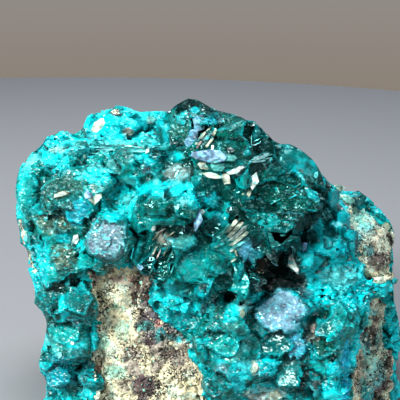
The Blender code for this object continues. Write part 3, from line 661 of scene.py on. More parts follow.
def makeMineralMaterial(name, look):
    material, tree, shader, output, where = newMaterial(name)
    tint = stored(tree, "tint", "Color")
    rugged = ranged(tree, stored(tree, "smooth"), 0.0, 1.0, look["coarse"], 0.12)
    green = put(tree, "ShaderNodeSeparateColor", {0: tint}).outputs["Green"]
    # lit is 0 where the tint is black, the painted shadow
    lit = ranged(tree, green, 0.006, 0.05, 0.0, 1.0)
    flat = put(tree, "ShaderNodeMapping", {"Vector": where, "Scale": (1.0, 1.0, 1.9)}).outputs[0]
    cells = {}
    for cell, (size, lean) in cellPlan.items():
        cells[cell] = grouped(tree, "brokenFaces", Vector=where if cell == "big" else flat, Size=size, Lean=lean)
    tinted, plain = mineralColour(tree, where, look, cells, rugged, lit, tint)
    tree.links.new(tinted, shader.inputs["Base Color"])
    rough = ranged(tree, noiseAt(tree, where, 1.1, 5.0), 0.38, 0.62, *look["rough"])
    tree.links.new(rough, shader.inputs["Roughness"])
    relief = product(tree, maths(tree, "ADD", cells["small"]["Height"], cells["tiny"]["Height"]), rugged, plain)
    relief = maths(tree, "ADD", relief, product(tree, cells["big"]["Height"], 0.35))
    tree.links.new(bumped(tree, relief, 0.9), shader.inputs["Normal"])
    shader.inputs["IOR"].default_value = look["ior"]
    shader.inputs["Specular IOR Level"].default_value = look["glint"]
    shader.inputs["Specular Tint"].default_value = (look["warm"], 1.0, 1.0, 1.0)
    if look["transmission"]:
        shader.inputs["Transmission Weight"].default_value = look["transmission"]
        volume = put(tree, "ShaderNodeVolumeAbsorption", {"Color": absorbed, "Density": look["density"]})
        tree.links.new(volume.outputs[0], output.inputs["Volume"])
    return material


# Specks on the rock: size, amount, shift, colour and strength. The last grains lie in swarms.
rockSpecks = [
    (0.8, 0.24, 1.0, "beige", 0.6), (0.7, 0.22, 9.0, "mint", 0.5), (0.5, 0.26, 13.0, "paleRock", 0.8),
    (0.4, 0.18, 21.0, "rust", 0.5), (0.5, 0.2, 29.0, "blackBrown", 0.8), (0.45, 0.15, 33.0, "cyan", 0.7),
    (0.26, None, 17.0, "blackBrown", 1.0),
]


def makeRockMaterial():
    material, tree, shader, _, where = newMaterial("hostRock")
    slow = ranged(tree, noiseAt(tree, where, 2.6, 6.0, 0.62), 0.33, 0.67, 0.82, 1.15)
    fine = ranged(tree, noiseAt(tree, where, 0.4, 4.0, 0.6), 0.35, 0.65, 0.84, 1.14)
    tinted = blended(tree, 1.0, stored(tree, "tint", "Color"), greyOf(tree, product(tree, slow, fine)), "MULTIPLY")
    crowd = ranged(tree, noiseAt(tree, where, 3.0, 3.0), 0.38, 0.60, 0.20, 0.70)
    for size, amount, shift, colour, share in rockSpecks:
        amount = crowd if amount is None else amount
        mask = grouped(tree, "flecks", Vector=where, Size=size, Amount=amount, Shift=shift)["Mask"]
        tinted = blended(tree, product(tree, mask, share), tinted, colourOf(colour))
    # painted shade: crevices darkened towards black-brown
    creviceShade = ranged(tree, stored(tree, "bulge"), -0.05, -0.22, 0.0, 0.9)
    tree.links.new(blended(tree, creviceShade, tinted, colourOf("blackBrown")), shader.inputs["Base Color"])
    tree.links.new(ranged(tree, noiseAt(tree, where, 0.7), 0.35, 0.65, 0.6, 0.95), shader.inputs["Roughness"])
    broken = grouped(tree, "brokenFaces", Vector=where, Size=0.5, Lean=0.8)["Height"]
    grain = product(tree, noiseAt(tree, where, 0.35, 5.0, 0.7), 0.3)
    tree.links.new(bumped(tree, maths(tree, "ADD", broken, grain), 0.9), shader.inputs["Normal"])
    return material


mineralNames = {
    "clear": "dioptaseClear", "cloudy": "dioptaseCloudy", "crust": "chrysocollaCrust", "coated": "coatedFaces",
}
materials = {look: makeMineralMaterial(name, mineralLook[look]) for look, name in mineralNames.items()}
materials["rock"] = makeRockMaterial()
print("materials made")


# Finishing a piece

def finished(name, mesh, material, slot, nodes=()):
    low, high = (np.array(corner) * perMetre for corner in cadBox)
    setPlaces(mesh, np.clip(placesOf(mesh), low, high) / perMetre)
    mesh.name = name
    mesh.materials.clear()
    mesh.materials.append(materials[material])
    obj = looseObject(name, mesh)
    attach(obj, "root")
    if nodes:
        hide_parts(*nodes)
    print(name, len(mesh.polygons), "faces")


def facetShading(mesh, degrees):
    mesh.shade_smooth()
    mesh.set_sharp_from_angle(angle=math.radians(degrees))


def placed(px, py, wide, high, turn, tint, sides, lean=None, **more):
    return {"at": (px, py), "size": (wide, high), "turn": turn, "tint": tint, "sides": sides, "lean": lean, **more}


# Faces and domes that the photograph shows, pressed into the surface. Each is at a pixel, with half its width and
# height in pixels and a turn in the picture's plane, then its colour and number of sides. Its lean is how far it faces
# right and up, in degrees, and without one it follows the surface. Rise and dome are in millimetres, smooth goes from
# 0, broken, to 1, polished, and mottle is how far the ground shows through.
faces = {
    "wedge": placed(227, 167, 13, 5, -6, "greyGreen", 6, (5, 20), rise=0.1, smooth=0.8),
    "steepLeft": placed(180, 130, 12, 16, 10, "greyGreen", 6, (-25, 5), rise=0.1, smooth=0.3),
    "crownGlass": placed(231, 137, 19, 22, -10, "bottle", 6, (5, 12), rise=0.2, smooth=0.9),
    "darkTop": placed(264, 147, 12, 25, -8, "deep", 6, (8, 8), rise=0.5, smooth=0.9),
    "tealDome": placed(298, 165, 23, 21, 30, "deepTeal", 9, rise=0.1, dome=1.0, smooth=0.9),
    "capBand": placed(290, 197, 34, 14, 12, "bottle", 8, rise=0.0, smooth=0.35),
    "greyFace": placed(107, 243, 20, 24, -12, "slate", 6, (-8, 14), rise=0.6, smooth=0.4, mottle=0.6),
    "roundedFace": placed(109, 166, 14, 8, 20, "greyTeal", 7, (10, 32), rise=0.4, smooth=0.7),
    "coatedKnob": placed(282, 313, 27, 23, 8, "coatBlue", 8, (0, 8), rise=1.0, smooth=0.65, mottle=0.4),
    "coatedNeck": placed(296, 346, 10, 13, 0, "lightBlue", 7, rise=0.2, dome=0.3, smooth=0.3),
    "turquoiseShard": placed(203, 290, 7, 15, 12, "cyan", 5, (-15, 15), rise=0.7),
    "paleBlock": placed(246, 306, 7, 6, 15, "paleCyan", 6, (8, 22), rise=0.4),
    "tealRidge": placed(245, 287, 6, 13, -8, "teal", 6, (-20, 10), rise=0.5, smooth=0.8),
    "wedgeBelowKnob": placed(276, 346, 14, 14, -28, "deepTeal", 5, (-12, 6), rise=0.5, smooth=0.95, mottle=0.2),
    "lobeBelowKnob": placed(268, 366, 15, 10, -25, "cyan", 7, rise=0.2, dome=0.6, smooth=0.4),
    "rightPlateA": placed(337, 319, 10, 17, 10, "teal", 6, (14, 10), rise=0.3, smooth=0.6),
    "rightPlateB": placed(324, 330, 9, 13, -20, "deepTeal", 5, (-10, 5), rise=0.4, smooth=0.85, mottle=0.4),
    "cyanLump": placed(336, 369, 8, 8, 0, "cyan", 7, rise=0.2, dome=0.5, smooth=0.5),
    "browDomeA": placed(157, 206, 17, 11, -6, "bottle", 8, rise=0.2, dome=0.8, smooth=0.8),
    "browDomeB": placed(186, 209, 14, 12, 10, "bottle", 8, rise=0.2, dome=0.7, smooth=0.8),
    "browLip": placed(170, 222, 22, 4, -3, "teal", 7, rise=0.2, smooth=0.8),
    "bluePatch": placed(246, 250, 6, 9, 10, "lightBlue", 6, rise=0.1),
    "greenFace": placed(185, 243, 13, 7, -8, "greyTeal", 6, (5, 22), rise=0.3, smooth=0.7),
    "tealLobeA": placed(213, 200, 9, 8, 10, "tealBlue", 7, rise=0.2, dome=0.4, smooth=0.9),
    "tealLobeB": placed(227, 208, 6, 8, 10, "teal", 7, rise=0.2, dome=0.3, smooth=0.9),
    "leftRound": placed(62, 193, 23, 20, 10, "greyGreen", 8, rise=0.2, dome=0.8, smooth=0.45),
    "leftSmooth": placed(77, 211, 14, 12, -35, "tealBlue", 5, (4, 12), rise=0.1, smooth=0.6),
    "leftEdge": placed(28, 192, 11, 19, 5, "teal", 7, rise=0.1, dome=0.5, smooth=0.7),
    "speckledRound": placed(65, 257, 14, 15, 0, "olive", 7, rise=0.4, dome=0.5, smooth=0.1),
    "leftKnob": placed(47, 302, 11, 14, 0, "deepTeal", 7, rise=0.3, dome=0.6, smooth=0.7),
    "leftDark": placed(79, 300, 14, 14, 25, "deepTeal", 5, (0, 12), rise=0.2, smooth=0.8),
    "leftTeal": placed(86, 261, 8, 11, 5, "teal", 6, (8, 12), rise=0.2, smooth=0.8),
    "oliveFace": placed(44, 223, 7, 6, -26, "olive", 4, (-8, 14), rise=0.3, smooth=0.5),
    "oliveFaceB": placed(62, 225, 8, 7, 14, "olive", 5, (6, 20), rise=0.3, smooth=0.3),
    "flatBlock": placed(156, 154, 7, 6, -30, "deep", 6, rise=0.4, smooth=0.2),
    "lowerGreen": placed(289, 378, 13, 18, 18, "deepTeal", 6, (-14, 10), rise=0.5, smooth=0.95, mottle=0.3),
    "lowerDark": placed(311, 384, 11, 16, 10, "deep", 6, (14, 5), rise=0.2, smooth=0.8, mottle=0.4),
    "lowerRight": placed(322, 348, 11, 12, -15, "bottle", 6, (8, 5), rise=0.3, smooth=0.7),
    "midPlateA": placed(150, 262, 6, 17, 28, "deep", 5, (-20, 5), rise=0.3, smooth=0.7),
    "midPlateB": placed(165, 266, 6, 17, 22, "bottle", 5, (-15, 5), rise=0.3, smooth=0.7),
    "midTeal": placed(192, 268, 14, 16, 10, "teal", 7, rise=0.0, smooth=0.7),
    "lowPlates": placed(213, 318, 7, 16, -10, "greyGreen", 5, (-10, 10), rise=0.2),
    "cyanColumn": placed(38, 262, 9, 20, 6, "cyan", 6, rise=0.1, smooth=0.4),
    "lowLeftA": placed(66, 334, 13, 12, 10, "teal", 6, (-12, 12), rise=0.1, smooth=0.6),
    "lowLeftB": placed(58, 378, 12, 15, -10, "tealBlue", 6, (-10, 8), rise=0.1, smooth=0.6),
    "lowMidA": placed(225, 345, 14, 13, 20, "teal", 6, (-6, 14), rise=0.2, smooth=0.6),
    "lowMidB": placed(216, 384, 13, 12, -20, "deepTeal", 6, (8, 10), rise=0.2, smooth=0.7),
}

pressLook = {
    "edge": 0.07,  # softness of a face's edge, as a share of its size
    "wobble": 0.13,
    "limit": 1.8,  # how far a vertex moves at most, in millimetres
    "fade": (3.2, 2.2),  # ground farther off than this is left alone
    "reach": 3.0,
    "rings": ((0.0, 1), (0.45, 6), (0.8, 8)),  # where sight lines feel for the surface
}


def turned(vector, axis, degrees):
    return np.array(Matrix.Rotation(math.radians(degrees), 3, Vector(axis)) @ Vector(vector))


def treeOf(meshes):
    corners, polygons = [], []
    for mesh in meshes:
        first = len(corners)
        corners.extend(Vector(p) for p in placesOf(mesh))
        polygons.extend([[first + v for v in face.vertices] for face in mesh.polygons])
    return BVHTree.FromPolygons(corners, polygons)


def underPixel(tree, px, py):
    place, _, _, _ = tree.ray_cast(Vector(eye), Vector(sightLine(px, py)))
    return None if place is None else np.array(place)


def faceReach(pixels, plan, seed):  # 1 on the face's edge, less inside it
    rng = random.Random(seed)
    spin = math.radians(plan["turn"])
    off = pixels - np.array(plan["at"])
    across = (off[:, 0] * math.cos(spin) + off[:, 1] * math.sin(spin)) / plan["size"][0]
    down = (off[:, 1] * math.cos(spin) - off[:, 0] * math.sin(spin)) / plan["size"][1]
    reach = np.zeros(len(pixels))
    for k in range(plan["sides"]):
        angle = 2 * math.pi * (k + rng.uniform(-0.25, 0.25)) / plan["sides"]
        reach = np.maximum(reach, (across * math.cos(angle) + down * math.sin(angle)) / rng.uniform(0.86, 1.02))
    return reach


def facePlane(tree, plan):  # a place on the face, and the way it faces
    px, py = plan["at"]
    wide, high = plan["size"]
    spots = []
    for ring, count in pressLook["rings"]:
        for k in range(count):
            angle = 2 * math.pi * k / count
            spot = underPixel(tree, px + ring * wide * math.cos(angle), py + ring * high * math.sin(angle))
            if spot is not None:
                spots.append(spot)
    spots = np.array(spots)
    far = np.linalg.norm(spots - eye, axis=1)
    spots = spots[np.abs(far - np.median(far)) < pressLook["reach"]]
    centre = np.median(spots, axis=0)
    toEye = (eye - centre) / np.linalg.norm(eye - centre)
    if plan["lean"] is None:
        facing = np.linalg.svd(spots - spots.mean(0))[2][2] if len(spots) > 3 else toEye
        facing = facing * np.sign(facing @ toEye) + 0.6 * toEye
        facing /= np.linalg.norm(facing)
    else:
        facing = turned(turned(toEye, (0, 0, 1), plan["lean"][0]), (1, 0, 0), -plan["lean"][1])
    return centre + toEye * plan["rise"], facing


def pressed(mesh, planes):  # presses the faces into a mesh, and gives each vertex's share of each face
    places, normals = placesOf(mesh), normalsOf(mesh)
    shares = {}
    for number, (name, plan) in enumerate(faces.items()):
        centre, facing = planes[name]
        away = places - eye
        depth = np.linalg.norm(away, axis=1)
        lines = away / depth[:, None]
        near = np.linalg.norm(places - centre, axis=1) < 0.25 * max(plan["size"]) + pressLook["reach"]
        near &= -(lines * normals).sum(1) > 0.02
        chosen = np.flatnonzero(near)
        share = np.zeros(len(places))
        if len(chosen):
            spots = places[chosen]
            wobble = pressLook["wobble"] * noiseField(spots, 1.0, 12.0 + number)
            reach = faceReach(pixelsOf(spots), plan, 100 + number) + wobble
            inside = smoothStep(1.0 + pressLook["edge"], 1.0 - pressLook["edge"], reach)
            goal = ((centre - eye) @ facing) / (lines[chosen] @ facing)
            goal -= plan.get("dome", 0.0) * np.clip(1.0 - reach ** 2, 0.0, 1.0)
            shift = goal - depth[chosen]
            inside *= smoothStep(*pressLook["fade"], np.abs(shift))
            shift = np.clip(shift, -pressLook["limit"], pressLook["limit"])
            places[chosen] += lines[chosen] * (inside * shift)[:, None]
            share[chosen] = inside
        shares[name] = share
    setPlaces(mesh, places)
    return shares


def paintFaces(places, colours, smooth, shares):
    mottle = np.clip(0.28 - 0.8 * noiseField(places, 0.9, 16.0), 0.0, 0.8)
    for name, share in shares.items():
        part = (share * (1.0 - mottle * faces[name].get("mottle", 1.0)))[:, None]
        colours += part * (linear(faces[name]["tint"]) - colours)
        smooth += share * (faces[name].get("smooth", 0.35) - smooth)
    return colours, smooth


# The rock and its crust

rockPlan = {
    "voxel": 0.31,
    "soften": 7,
    "lumps": ((6.0, 0.45), (2.6, 0.30)),  # wavelength and height of the crust's lumps
    "rockLumps": ((3.0, 0.25), (1.3, 0.35)),
    "broad": (3.4, 0.42, 0.8, 21),  # facets: their width, lean and depth, and a seed
    "narrow": (1.7, 0.40, 0.45, 22),
    "rockFacets": (0.95, 0.45, 0.3, 23),
    "crumbs": (1.1, 0.16),
    "sunk": 0.55,  # how deep the rock lies under its crust
    "under": 1.3,  # how deep the crust's body lies where the rock is bare
    "crustRamp": ["deepTeal", "teal", "cyan", "teal", "cyan", "teal", "brightCyan", "teal", "paleCyan"],
    "crystalRamp": ["deepTeal", "teal", "bottle", "teal", "deepTeal", "cyan", "teal"],
    "rockRamp": ["greyBeige", "rock", "rock", "paleRock", "rock", "beige"],
    "hiddenFaces": 0.15,  # share of the faces that stay where the other body covers them
    "backFaces": 0.36,  # and on the sides that the photograph doesn't show
}

# Hollows sunk in the crust: x pixel, y pixel, half width, half height and depth in millimetres.
hollows = [
    (270, 266, 26, 24, 3.6), (312, 228, 9, 24, 2.2), (176, 229, 24, 8, 1.8), (229, 296, 7, 6, 1.2),
    (52, 218, 14, 4, 0.9), (300, 341, 6, 5, 0.8), (318, 238, 6, 6, 0.9), (250, 284, 8, 8, 1.0),
]


def hollowPush(pixels, facing):
    push = np.zeros(len(pixels))
    for px, py, wide, high, depth in hollows:
        reach = np.hypot((pixels[:, 0] - px) / wide, (pixels[:, 1] - py) / high)
        push -= depth * smoothStep(1.2, 0.4, reach) * facing
    return push


def thinned(mesh, spare, ratio):  # fewer faces, first where they are spare
    obj = looseObject("thinning", mesh)
    group = obj.vertex_groups.new(name="spare")
    for level in (0.5, 1.0):
        group.add([int(number) for number in np.flatnonzero(spare >= level)], level, "REPLACE")
    fewer = obj.modifiers.new("fewer", "DECIMATE")
    fewer.ratio = ratio
    fewer.vertex_group = "spare"
    fewer.vertex_group_factor = 10.0
    return settled(obj)


def shapeRock():  # one fine skin for rock and crust, with the lumps and faces that both have
    mesh = fineSkin(solidCopy(["host_rock"]), rockPlan["voxel"], rockPlan["soften"])
    places, normals = placesOf(mesh), normalsOf(mesh)
    bare = bareShare(places)
    free = 1.0 - smoothStep(0.7, 0.15, places[:, 2])
    crystalTint = painted(places, normals, rockPlan["crystalRamp"], crystalPatches)
    gloss = smoothStep(0.50, 0.24, crystalTint[:, 1])  # the darker, the more it is crystal
    crustPush = sum(high * noiseField(places, wave, k) for k, (wave, high) in enumerate(rockPlan["lumps"]))
    rockPush = sum(high * noiseField(places, wave, k + 5) for k, (wave, high) in enumerate(rockPlan["rockLumps"]))
    crustPush += hollowPush(pixelsOf(places), seenShare(places, normals))
    push = np.where(bare, rockPush - 0.15, crustPush) * free
    setPlaces(mesh, places + normals * push[:, None])
    places, normals = placesOf(mesh), normalsOf(mesh)
    broad = facetPush(places, normals, *rockPlan["broad"])
    narrow = facetPush(places, normals, *rockPlan["narrow"])
    crumbs = rockPlan["crumbs"][1] * noiseField(places, rockPlan["crumbs"][0], 9.0)
    crustPush = gloss * (0.9 * broad + 0.45 * narrow) + (1.0 - gloss) * (0.7 * broad + 0.55 * narrow + crumbs)
    rockPush = 0.7 * facetPush(places, normals, *rockPlan["rockFacets"])
    push = np.where(bare, rockPush, crustPush) * free
    setPlaces(mesh, trimmed(places + normals * push[:, None]))
    return mesh, bare, free, gloss, crystalTint


def splitRock(mesh, bare, free, gloss, crystalTint, shares):
    places, normals = placesOf(mesh), normalsOf(mesh)
    smooth = np.clip(0.3 + 0.3 * gloss + 0.95 * noiseField(places, 3.2, 18.0), 0.0, 0.9)
    crystalTint, smooth = paintFaces(places, crystalTint, smooth, shares)
    facing = seenShare(places, normals)
    fine = 0.12 * noiseField(places, 0.62, 10.0) * (1.0 - smooth)
    fine += np.where(bare, 0.14 * noiseField(places, 0.45, 11.0), 0.0)
    places = places + normals * (fine * free)[:, None]
    places[places[:, 2] < 0.2, 2] = 0.0
    setPlaces(mesh, places)
    numberAttribute(mesh, "bulge", bulgeOf(mesh, 3))
    numberAttribute(mesh, "smooth", smooth)
    rock = mesh.copy()
    crustTint = painted(places, normals, rockPlan["crustRamp"], crystalPatches, 0.85 * facing)
    crustTint, _ = paintFaces(places, crustTint, smooth.copy(), shares)
    colourAttribute(mesh, "tint", crustTint)
    colourAttribute(mesh, "crystalTint", crystalTint)
    colourAttribute(rock, "tint", painted(places, normals, rockPlan["rockRamp"], rockPatches))
    high = places[:, 2] > 0.8
    pressedShare = np.clip(sum(shares.values()), 0.0, 1.0)
    clear = np.clip(1.0 - 1.6 * np.maximum(pressedShare, spreadOut(pressedShare, edgesOf(mesh), 5)), 0.0, 1.0)
    # no room for strewn pieces on the black painted shadow
    lit = smoothStep(0.01, 0.05, crystalTint[:, 1])
    numberAttribute(mesh, "room", (0.2 + 0.8 * gloss) * (1.0 - 0.9 * smooth) * clear * lit * (~bare & high))
    numberAttribute(mesh, "crumbRoom", (1.0 - 0.6 * gloss) * (1.0 - smooth) * clear * lit * (~bare & high))
    numberAttribute(rock, "room", (bare & high).astype(float))
    inner = spreadOut(normals, edgesOf(mesh), 4)
    setPlaces(mesh, places - inner * (bare * rockPlan["under"])[:, None])
    setPlaces(rock, places - inner * (~bare * rockPlan["sunk"] * free)[:, None])
    wide = spreadOut(bare.astype(float), edgesOf(mesh), 4)
    back = 0.5 * (spreadOut(facing, edgesOf(mesh), 2) < 0.02)
    crustKeep = 1.0 - (wide > 0.999).mean() * (1.0 - rockPlan["hiddenFaces"])
    crustKeep -= ((wide <= 0.999) & (back > 0)).mean() * (1.0 - rockPlan["backFaces"])
    rockKeep = 1.0 - (wide < 0.001).mean() * (1.0 - rockPlan["hiddenFaces"])
    crust = thinned(mesh, np.where(wide > 0.999, 1.0, back), crustKeep)
    rock = thinned(rock, np.where(wide < 0.001, 1.0, 0.0), rockKeep)
    for shell in (crust, rock):
        facetShading(shell, 30)
    return crust, rock


# Helpers for solids made from corners

def hullMesh(points, edge, rough, seed):
    bm = bmesh.new()
    for point in points:
        bm.verts.new(point)
    hull = bmesh.ops.convex_hull(bm, input=bm.verts[:])
    spare = [e for e in hull["geom_interior"] + hull["geom_unused"] if isinstance(e, bmesh.types.BMVert)]
    bmesh.ops.delete(bm, geom=list(set(spare)), context="VERTS")
    for _ in range(4):
        long = [e for e in bm.edges if e.calc_length() > edge]
        if not long:
            break
        bmesh.ops.subdivide_edges(bm, edges=long, cuts=1)
        bmesh.ops.triangulate(bm, faces=bm.faces[:])
    bm.normal_update()
    for vertex in bm.verts:
        shake = noise.noise(vertex.co / 0.9 + Vector((seed, 0, 0))) + 0.6 * noise.noise(vertex.co / 0.4)
        vertex.co += vertex.normal * rough * shake
    bmesh.ops.recalc_face_normals(bm, faces=bm.faces[:])
    return bm


def joined(bms):
    whole = bmesh.new()
    holder = bpy.data.meshes.new("holder")
    for bm in bms:
        bm.to_mesh(holder)
        bm.free()
        whole.from_mesh(holder)
    bpy.data.meshes.remove(holder)
    mesh = bpy.data.meshes.new("joined")
    whole.to_mesh(mesh)
    whole.free()
    return mesh


# The crystal clusters of the frame, worn and broken

clusterPlan = {
    "voxel": 0.27,
    "soften": 10,
    "fill": 1.1,  # crevices narrower than twice this are filled
    "crownFill": 1.7,
    "swell": 0.22,
    "broad": (4.2, 0.24, 0.6),  # facets: their width, lean and depth
    "narrow": (1.6, 0.2, 0.2),
    "ramp": ["deep", "bottle", "teal", "deepTeal", "teal", "bottle", "teal", "cyan"],
    "pieces": {
        "dioptase_crown": ("crownCrystals", "clear"),
        "dioptase_left": ("leftCrystals", "cloudy"),
        "dioptase_lower_right": ("lowerRightCrystals", "cloudy"),
        "dioptase_ridge": ("ridgeCrystals", "clear"),
        "dioptase_left_side": ("leftSideCrystals", "cloudy"),
        "dioptase_back_left": ("backLeftCrystals", "clear"),
        "dioptase_back_middle": ("backMiddleCrystals", "clear"),
        "dioptase_back_foot": ("backFootCrystals", "cloudy"),
        "dioptase_back_right": ("backRightCrystals", "clear"),
        "dioptase_right_side": ("rightSideCrystals", "cloudy"),
    },
}


# The crown's glassy mass, that its crystals stand in: corners in pixels and how far each lies behind the crystals
# that are within so many pixels of it.
massReach = 16.0
crownMass = [
    [
        (170, 114, 0), (176, 108, 1), (185, 103, 1), (197, 103, 1), (204, 122, -1), (196, 146, -1), (176, 146, -1),
        (208, 108, 3),
    ],
    [
        (196, 106, 2), (208, 109, 2), (222, 114, 2), (236, 118, 2), (250, 125, 2), (258, 140, 1), (250, 164, 0),
        (226, 172, 0), (202, 164, 0), (194, 134, 0), (228, 140, -1.4),
    ],
    [
        (250, 124, 2), (260, 129, 2), (270, 142, 2), (276, 160, 1), (264, 180, 0), (250, 172, 0), (258, 150, -1),
    ],
    [
        (272, 150, 3), (286, 148, 3), (300, 154, 3), (314, 166, 3), (322, 184, 3), (318, 206, 2), (290, 218, 0),
        (262, 212, 0), (252, 186, 0), (296, 180, -1), (278, 200, -1),
    ],
]


def massCorners(bm, corners):
    places = np.array([vertex.co for vertex in bm.verts])
    pixels, depth = pixelsOf(places), (places - eye) @ forward
    for px, py, back in corners:
        near = np.hypot(pixels[:, 0] - px, pixels[:, 1] - py) < massReach
        line = sightLine(px, py)
        far = np.percentile(depth[near], 30) + back
        yield eye + line * far / (line @ forward)


def shapeCluster(node, seed):
    bm = solidCopy([node])
    fill = clusterPlan["fill"]
    if node == "dioptase_crown":
        fill = clusterPlan["crownFill"]
        hulls = [hullMesh(list(massCorners(bm, corners)), 1.5, 0.25, k) for k, corners in enumerate(crownMass)]
        bm.from_mesh(joined(hulls))
    mesh = fineSkin(bm, clusterPlan["voxel"], clusterPlan["soften"], fill, clusterPlan["swell"])
    places, normals = placesOf(mesh), normalsOf(mesh)
    push = 0.15 * noiseField(places, 3.0, seed) + 0.9 * facetPush(places, normals, *clusterPlan["broad"], seed)
    push += 0.3 * facetPush(places, normals, *clusterPlan["narrow"], seed + 1)
    push += 0.7 * hollowPush(pixelsOf(places), seenShare(places, normals))
    setPlaces(mesh, trimmed(places + normals * push[:, None]))
    return mesh


def finishCluster(mesh, shares):
    places, normals = placesOf(mesh), normalsOf(mesh)
    smooth = np.clip(0.6 + 0.6 * noiseField(places, 4.0, 14.0), 0.2, 0.95)
    colours = painted(places, normals, clusterPlan["ramp"], crystalPatches)
    colours, smooth = paintFaces(places, colours, smooth, shares)
    fine = 0.07 * noiseField(places, 0.55, 15.0) * (1.0 - smooth)
    setPlaces(mesh, places + normals * fine[:, None])
    colourAttribute(mesh, "tint", colours)
    colourAttribute(mesh, "crystalTint", colours)
    numberAttribute(mesh, "bulge", bulgeOf(mesh, 3))
    numberAttribute(mesh, "smooth", smooth)
    # no room for strewn pieces on the black painted shadow
    numberAttribute(mesh, "room", 0.2 * (1.0 - smooth) * smoothStep(0.01, 0.05, colours[:, 1]))
    facetShading(mesh, 28)


rockSkin, *rockNotes = shapeRock()
clusterMeshes = {node: shapeCluster(node, 31 + 3 * k) for k, node in enumerate(clusterPlan["pieces"])}
skinTree = treeOf([rockSkin, *clusterMeshes.values()])
planes = {name: facePlane(skinTree, plan) for name, plan in faces.items()}
crustMesh, rockMesh = splitRock(rockSkin, *rockNotes, pressed(rockSkin, planes))
for mesh in clusterMeshes.values():
    finishCluster(mesh, pressed(mesh, planes))
surfaceTree = treeOf([crustMesh, rockMesh, *clusterMeshes.values()])
print("rock, crust and clusters shaped")


# Small plates, each half sunk in what it lies on. They are placed as the faces are; thick is in millimetres.
plates = {
    # The four plates at the crown's ellipse and strip are painted reflections of the bright light above on its upward
    # faces, and the plates named glint are painted glints.
    "crownReflectionEllipse": placed(211, 156.5, 16, 6, 4, "lavender", 12, (0, 20), rise=1.0, thick=1.4),
    "crownReflectionEllipseEnd": placed(230, 158, 7, 4, 10, "greyTeal", 6, (0, 20), rise=0.4, thick=1.2),
    "crownReflectionStripTop": placed(199, 124, 6.5, 9, 26, "reflectedLightBlueGrey", 4, (-14, 12), rise=0.6, thick=1.2),
    "crownReflectionStripFoot": placed(191, 140, 5, 11, 22, "reflectedLightBlueGrey", 5, (-14, 8), rise=0.6, thick=1.2),
    "crownSpot": placed(212.5, 147.5, 1.6, 3, 0, "white", 5),
    "crownCream": placed(204.5, 166, 6, 4, 5, "cream", 6, (0, 20), rise=0.4),
    "crownLens": placed(218, 167, 7.5, 3.8, 8, "greyTeal", 7, (0, 15), rise=0.4),
    "bandLeft": placed(212.5, 175.5, 10, 3, 14, "cream", 6, (0, 18), rise=0.9, thick=1.2),
    "bandMiddle": placed(225.5, 179, 4.4, 6, -24, "cream", 5, (0, 15), rise=0.9, thick=1.2),
    "bandRight": placed(236, 170.5, 9.5, 3.2, -22, "white", 5, (0, 20), rise=0.9, thick=1.2),
    "whiteFacet": placed(254, 181, 4.4, 8.5, 14, "white", 5, (-6, 8), rise=0.8, thick=1.2),
    "whiteFoot": placed(249, 193, 2, 4, 16, "cream", 5, (-6, 10)),
    "darkLine": placed(257, 140, 4.0, 0.5, -26, "paleCyan", 4),
    "domeGlint": placed(316, 175, 2, 3.6, 25, "paleCyan", 5),
    "innerFacet": placed(198, 219, 5, 12, 16, "lavender", 4, (-18, 8), rise=0.8, thick=1.4),
    "innerTop": placed(202, 212, 2, 3, 16, "white", 5),
    "greenWedge": placed(281, 238, 16, 10, -18, "deepTeal", 3, (5, 14), rise=1.3, thick=3.0),
    "hollowFacet": placed(294, 262, 6.5, 12, -12, "white", 4, (-8, 8), rise=1.0, thick=1.8),
    "hollowHole": placed(294.5, 265, 1.6, 3.0, -20, "blackBrown", 5, (-8, 8), rise=1.1),
    "hollowEdge": placed(304, 247, 3, 5.5, 40, "lavender", 5, (-16, 12)),
    "leftCreamA": placed(61, 194, 9, 2.8, -14, "beige", 5, (-6, 28)),
    "leftCreamB": placed(96, 196, 6, 8, 28, "cream", 5, (6, 16)),
    "leftCreamC": placed(88, 195, 4.5, 4, -15, "lavender", 5, (-6, 16)),
    "leftBlock": placed(75.5, 239.5, 3.4, 4.8, 8, "white", 5),
    "ridgeCream": placed(97, 127, 4.5, 7, 42, "cream", 6),
    "ridgeCreamB": placed(102, 122, 3, 4, 10, "rock", 6),
    "ridgeBlush": placed(128.5, 132, 5, 3.4, 8, "blush", 6),
    "ridgePale": placed(151, 120, 4.5, 4, -10, "greyTeal", 6),
    "flatPale": placed(147.5, 151.5, 1.8, 3, 10, "white", 5),
    "paleFacet": placed(140.5, 267, 3, 3.2, 10, "lavender", 5, (-8, 20)),
    "browGlint": placed(153.5, 228.5, 2, 2.6, 20, "white", 5),
    "beigeSpot": placed(242.5, 313, 2.4, 4.4, 5, "beige", 5),
    "lowGlint": placed(72, 343, 2, 2, 0, "white", 5),
    "lowShard": placed(59, 355, 3, 3.4, 20, "paleCyan", 5),
    "rightBlushA": placed(313, 328, 3, 4.5, 10, "blush", 6),
    "rightBlushB": placed(317, 338, 3.4, 4, -20, "beige", 6),
    "lowCream": placed(255, 368, 3.4, 5, 10, "cream", 6),
    "lowBlock": placed(257, 395, 11, 6.5, -6, "white", 6, (0, 16), rise=0.5, thick=1.6),
    "lowBlockB": placed(274, 395, 9, 6, 8, "cream", 5, (6, 16), rise=0.4, thick=1.6),
    "shoulderBump": placed(339, 188, 5, 3, 8, "cream", 7),
    "knobTop": placed(349, 200, 6, 3.4, 20, "mint", 7),
}

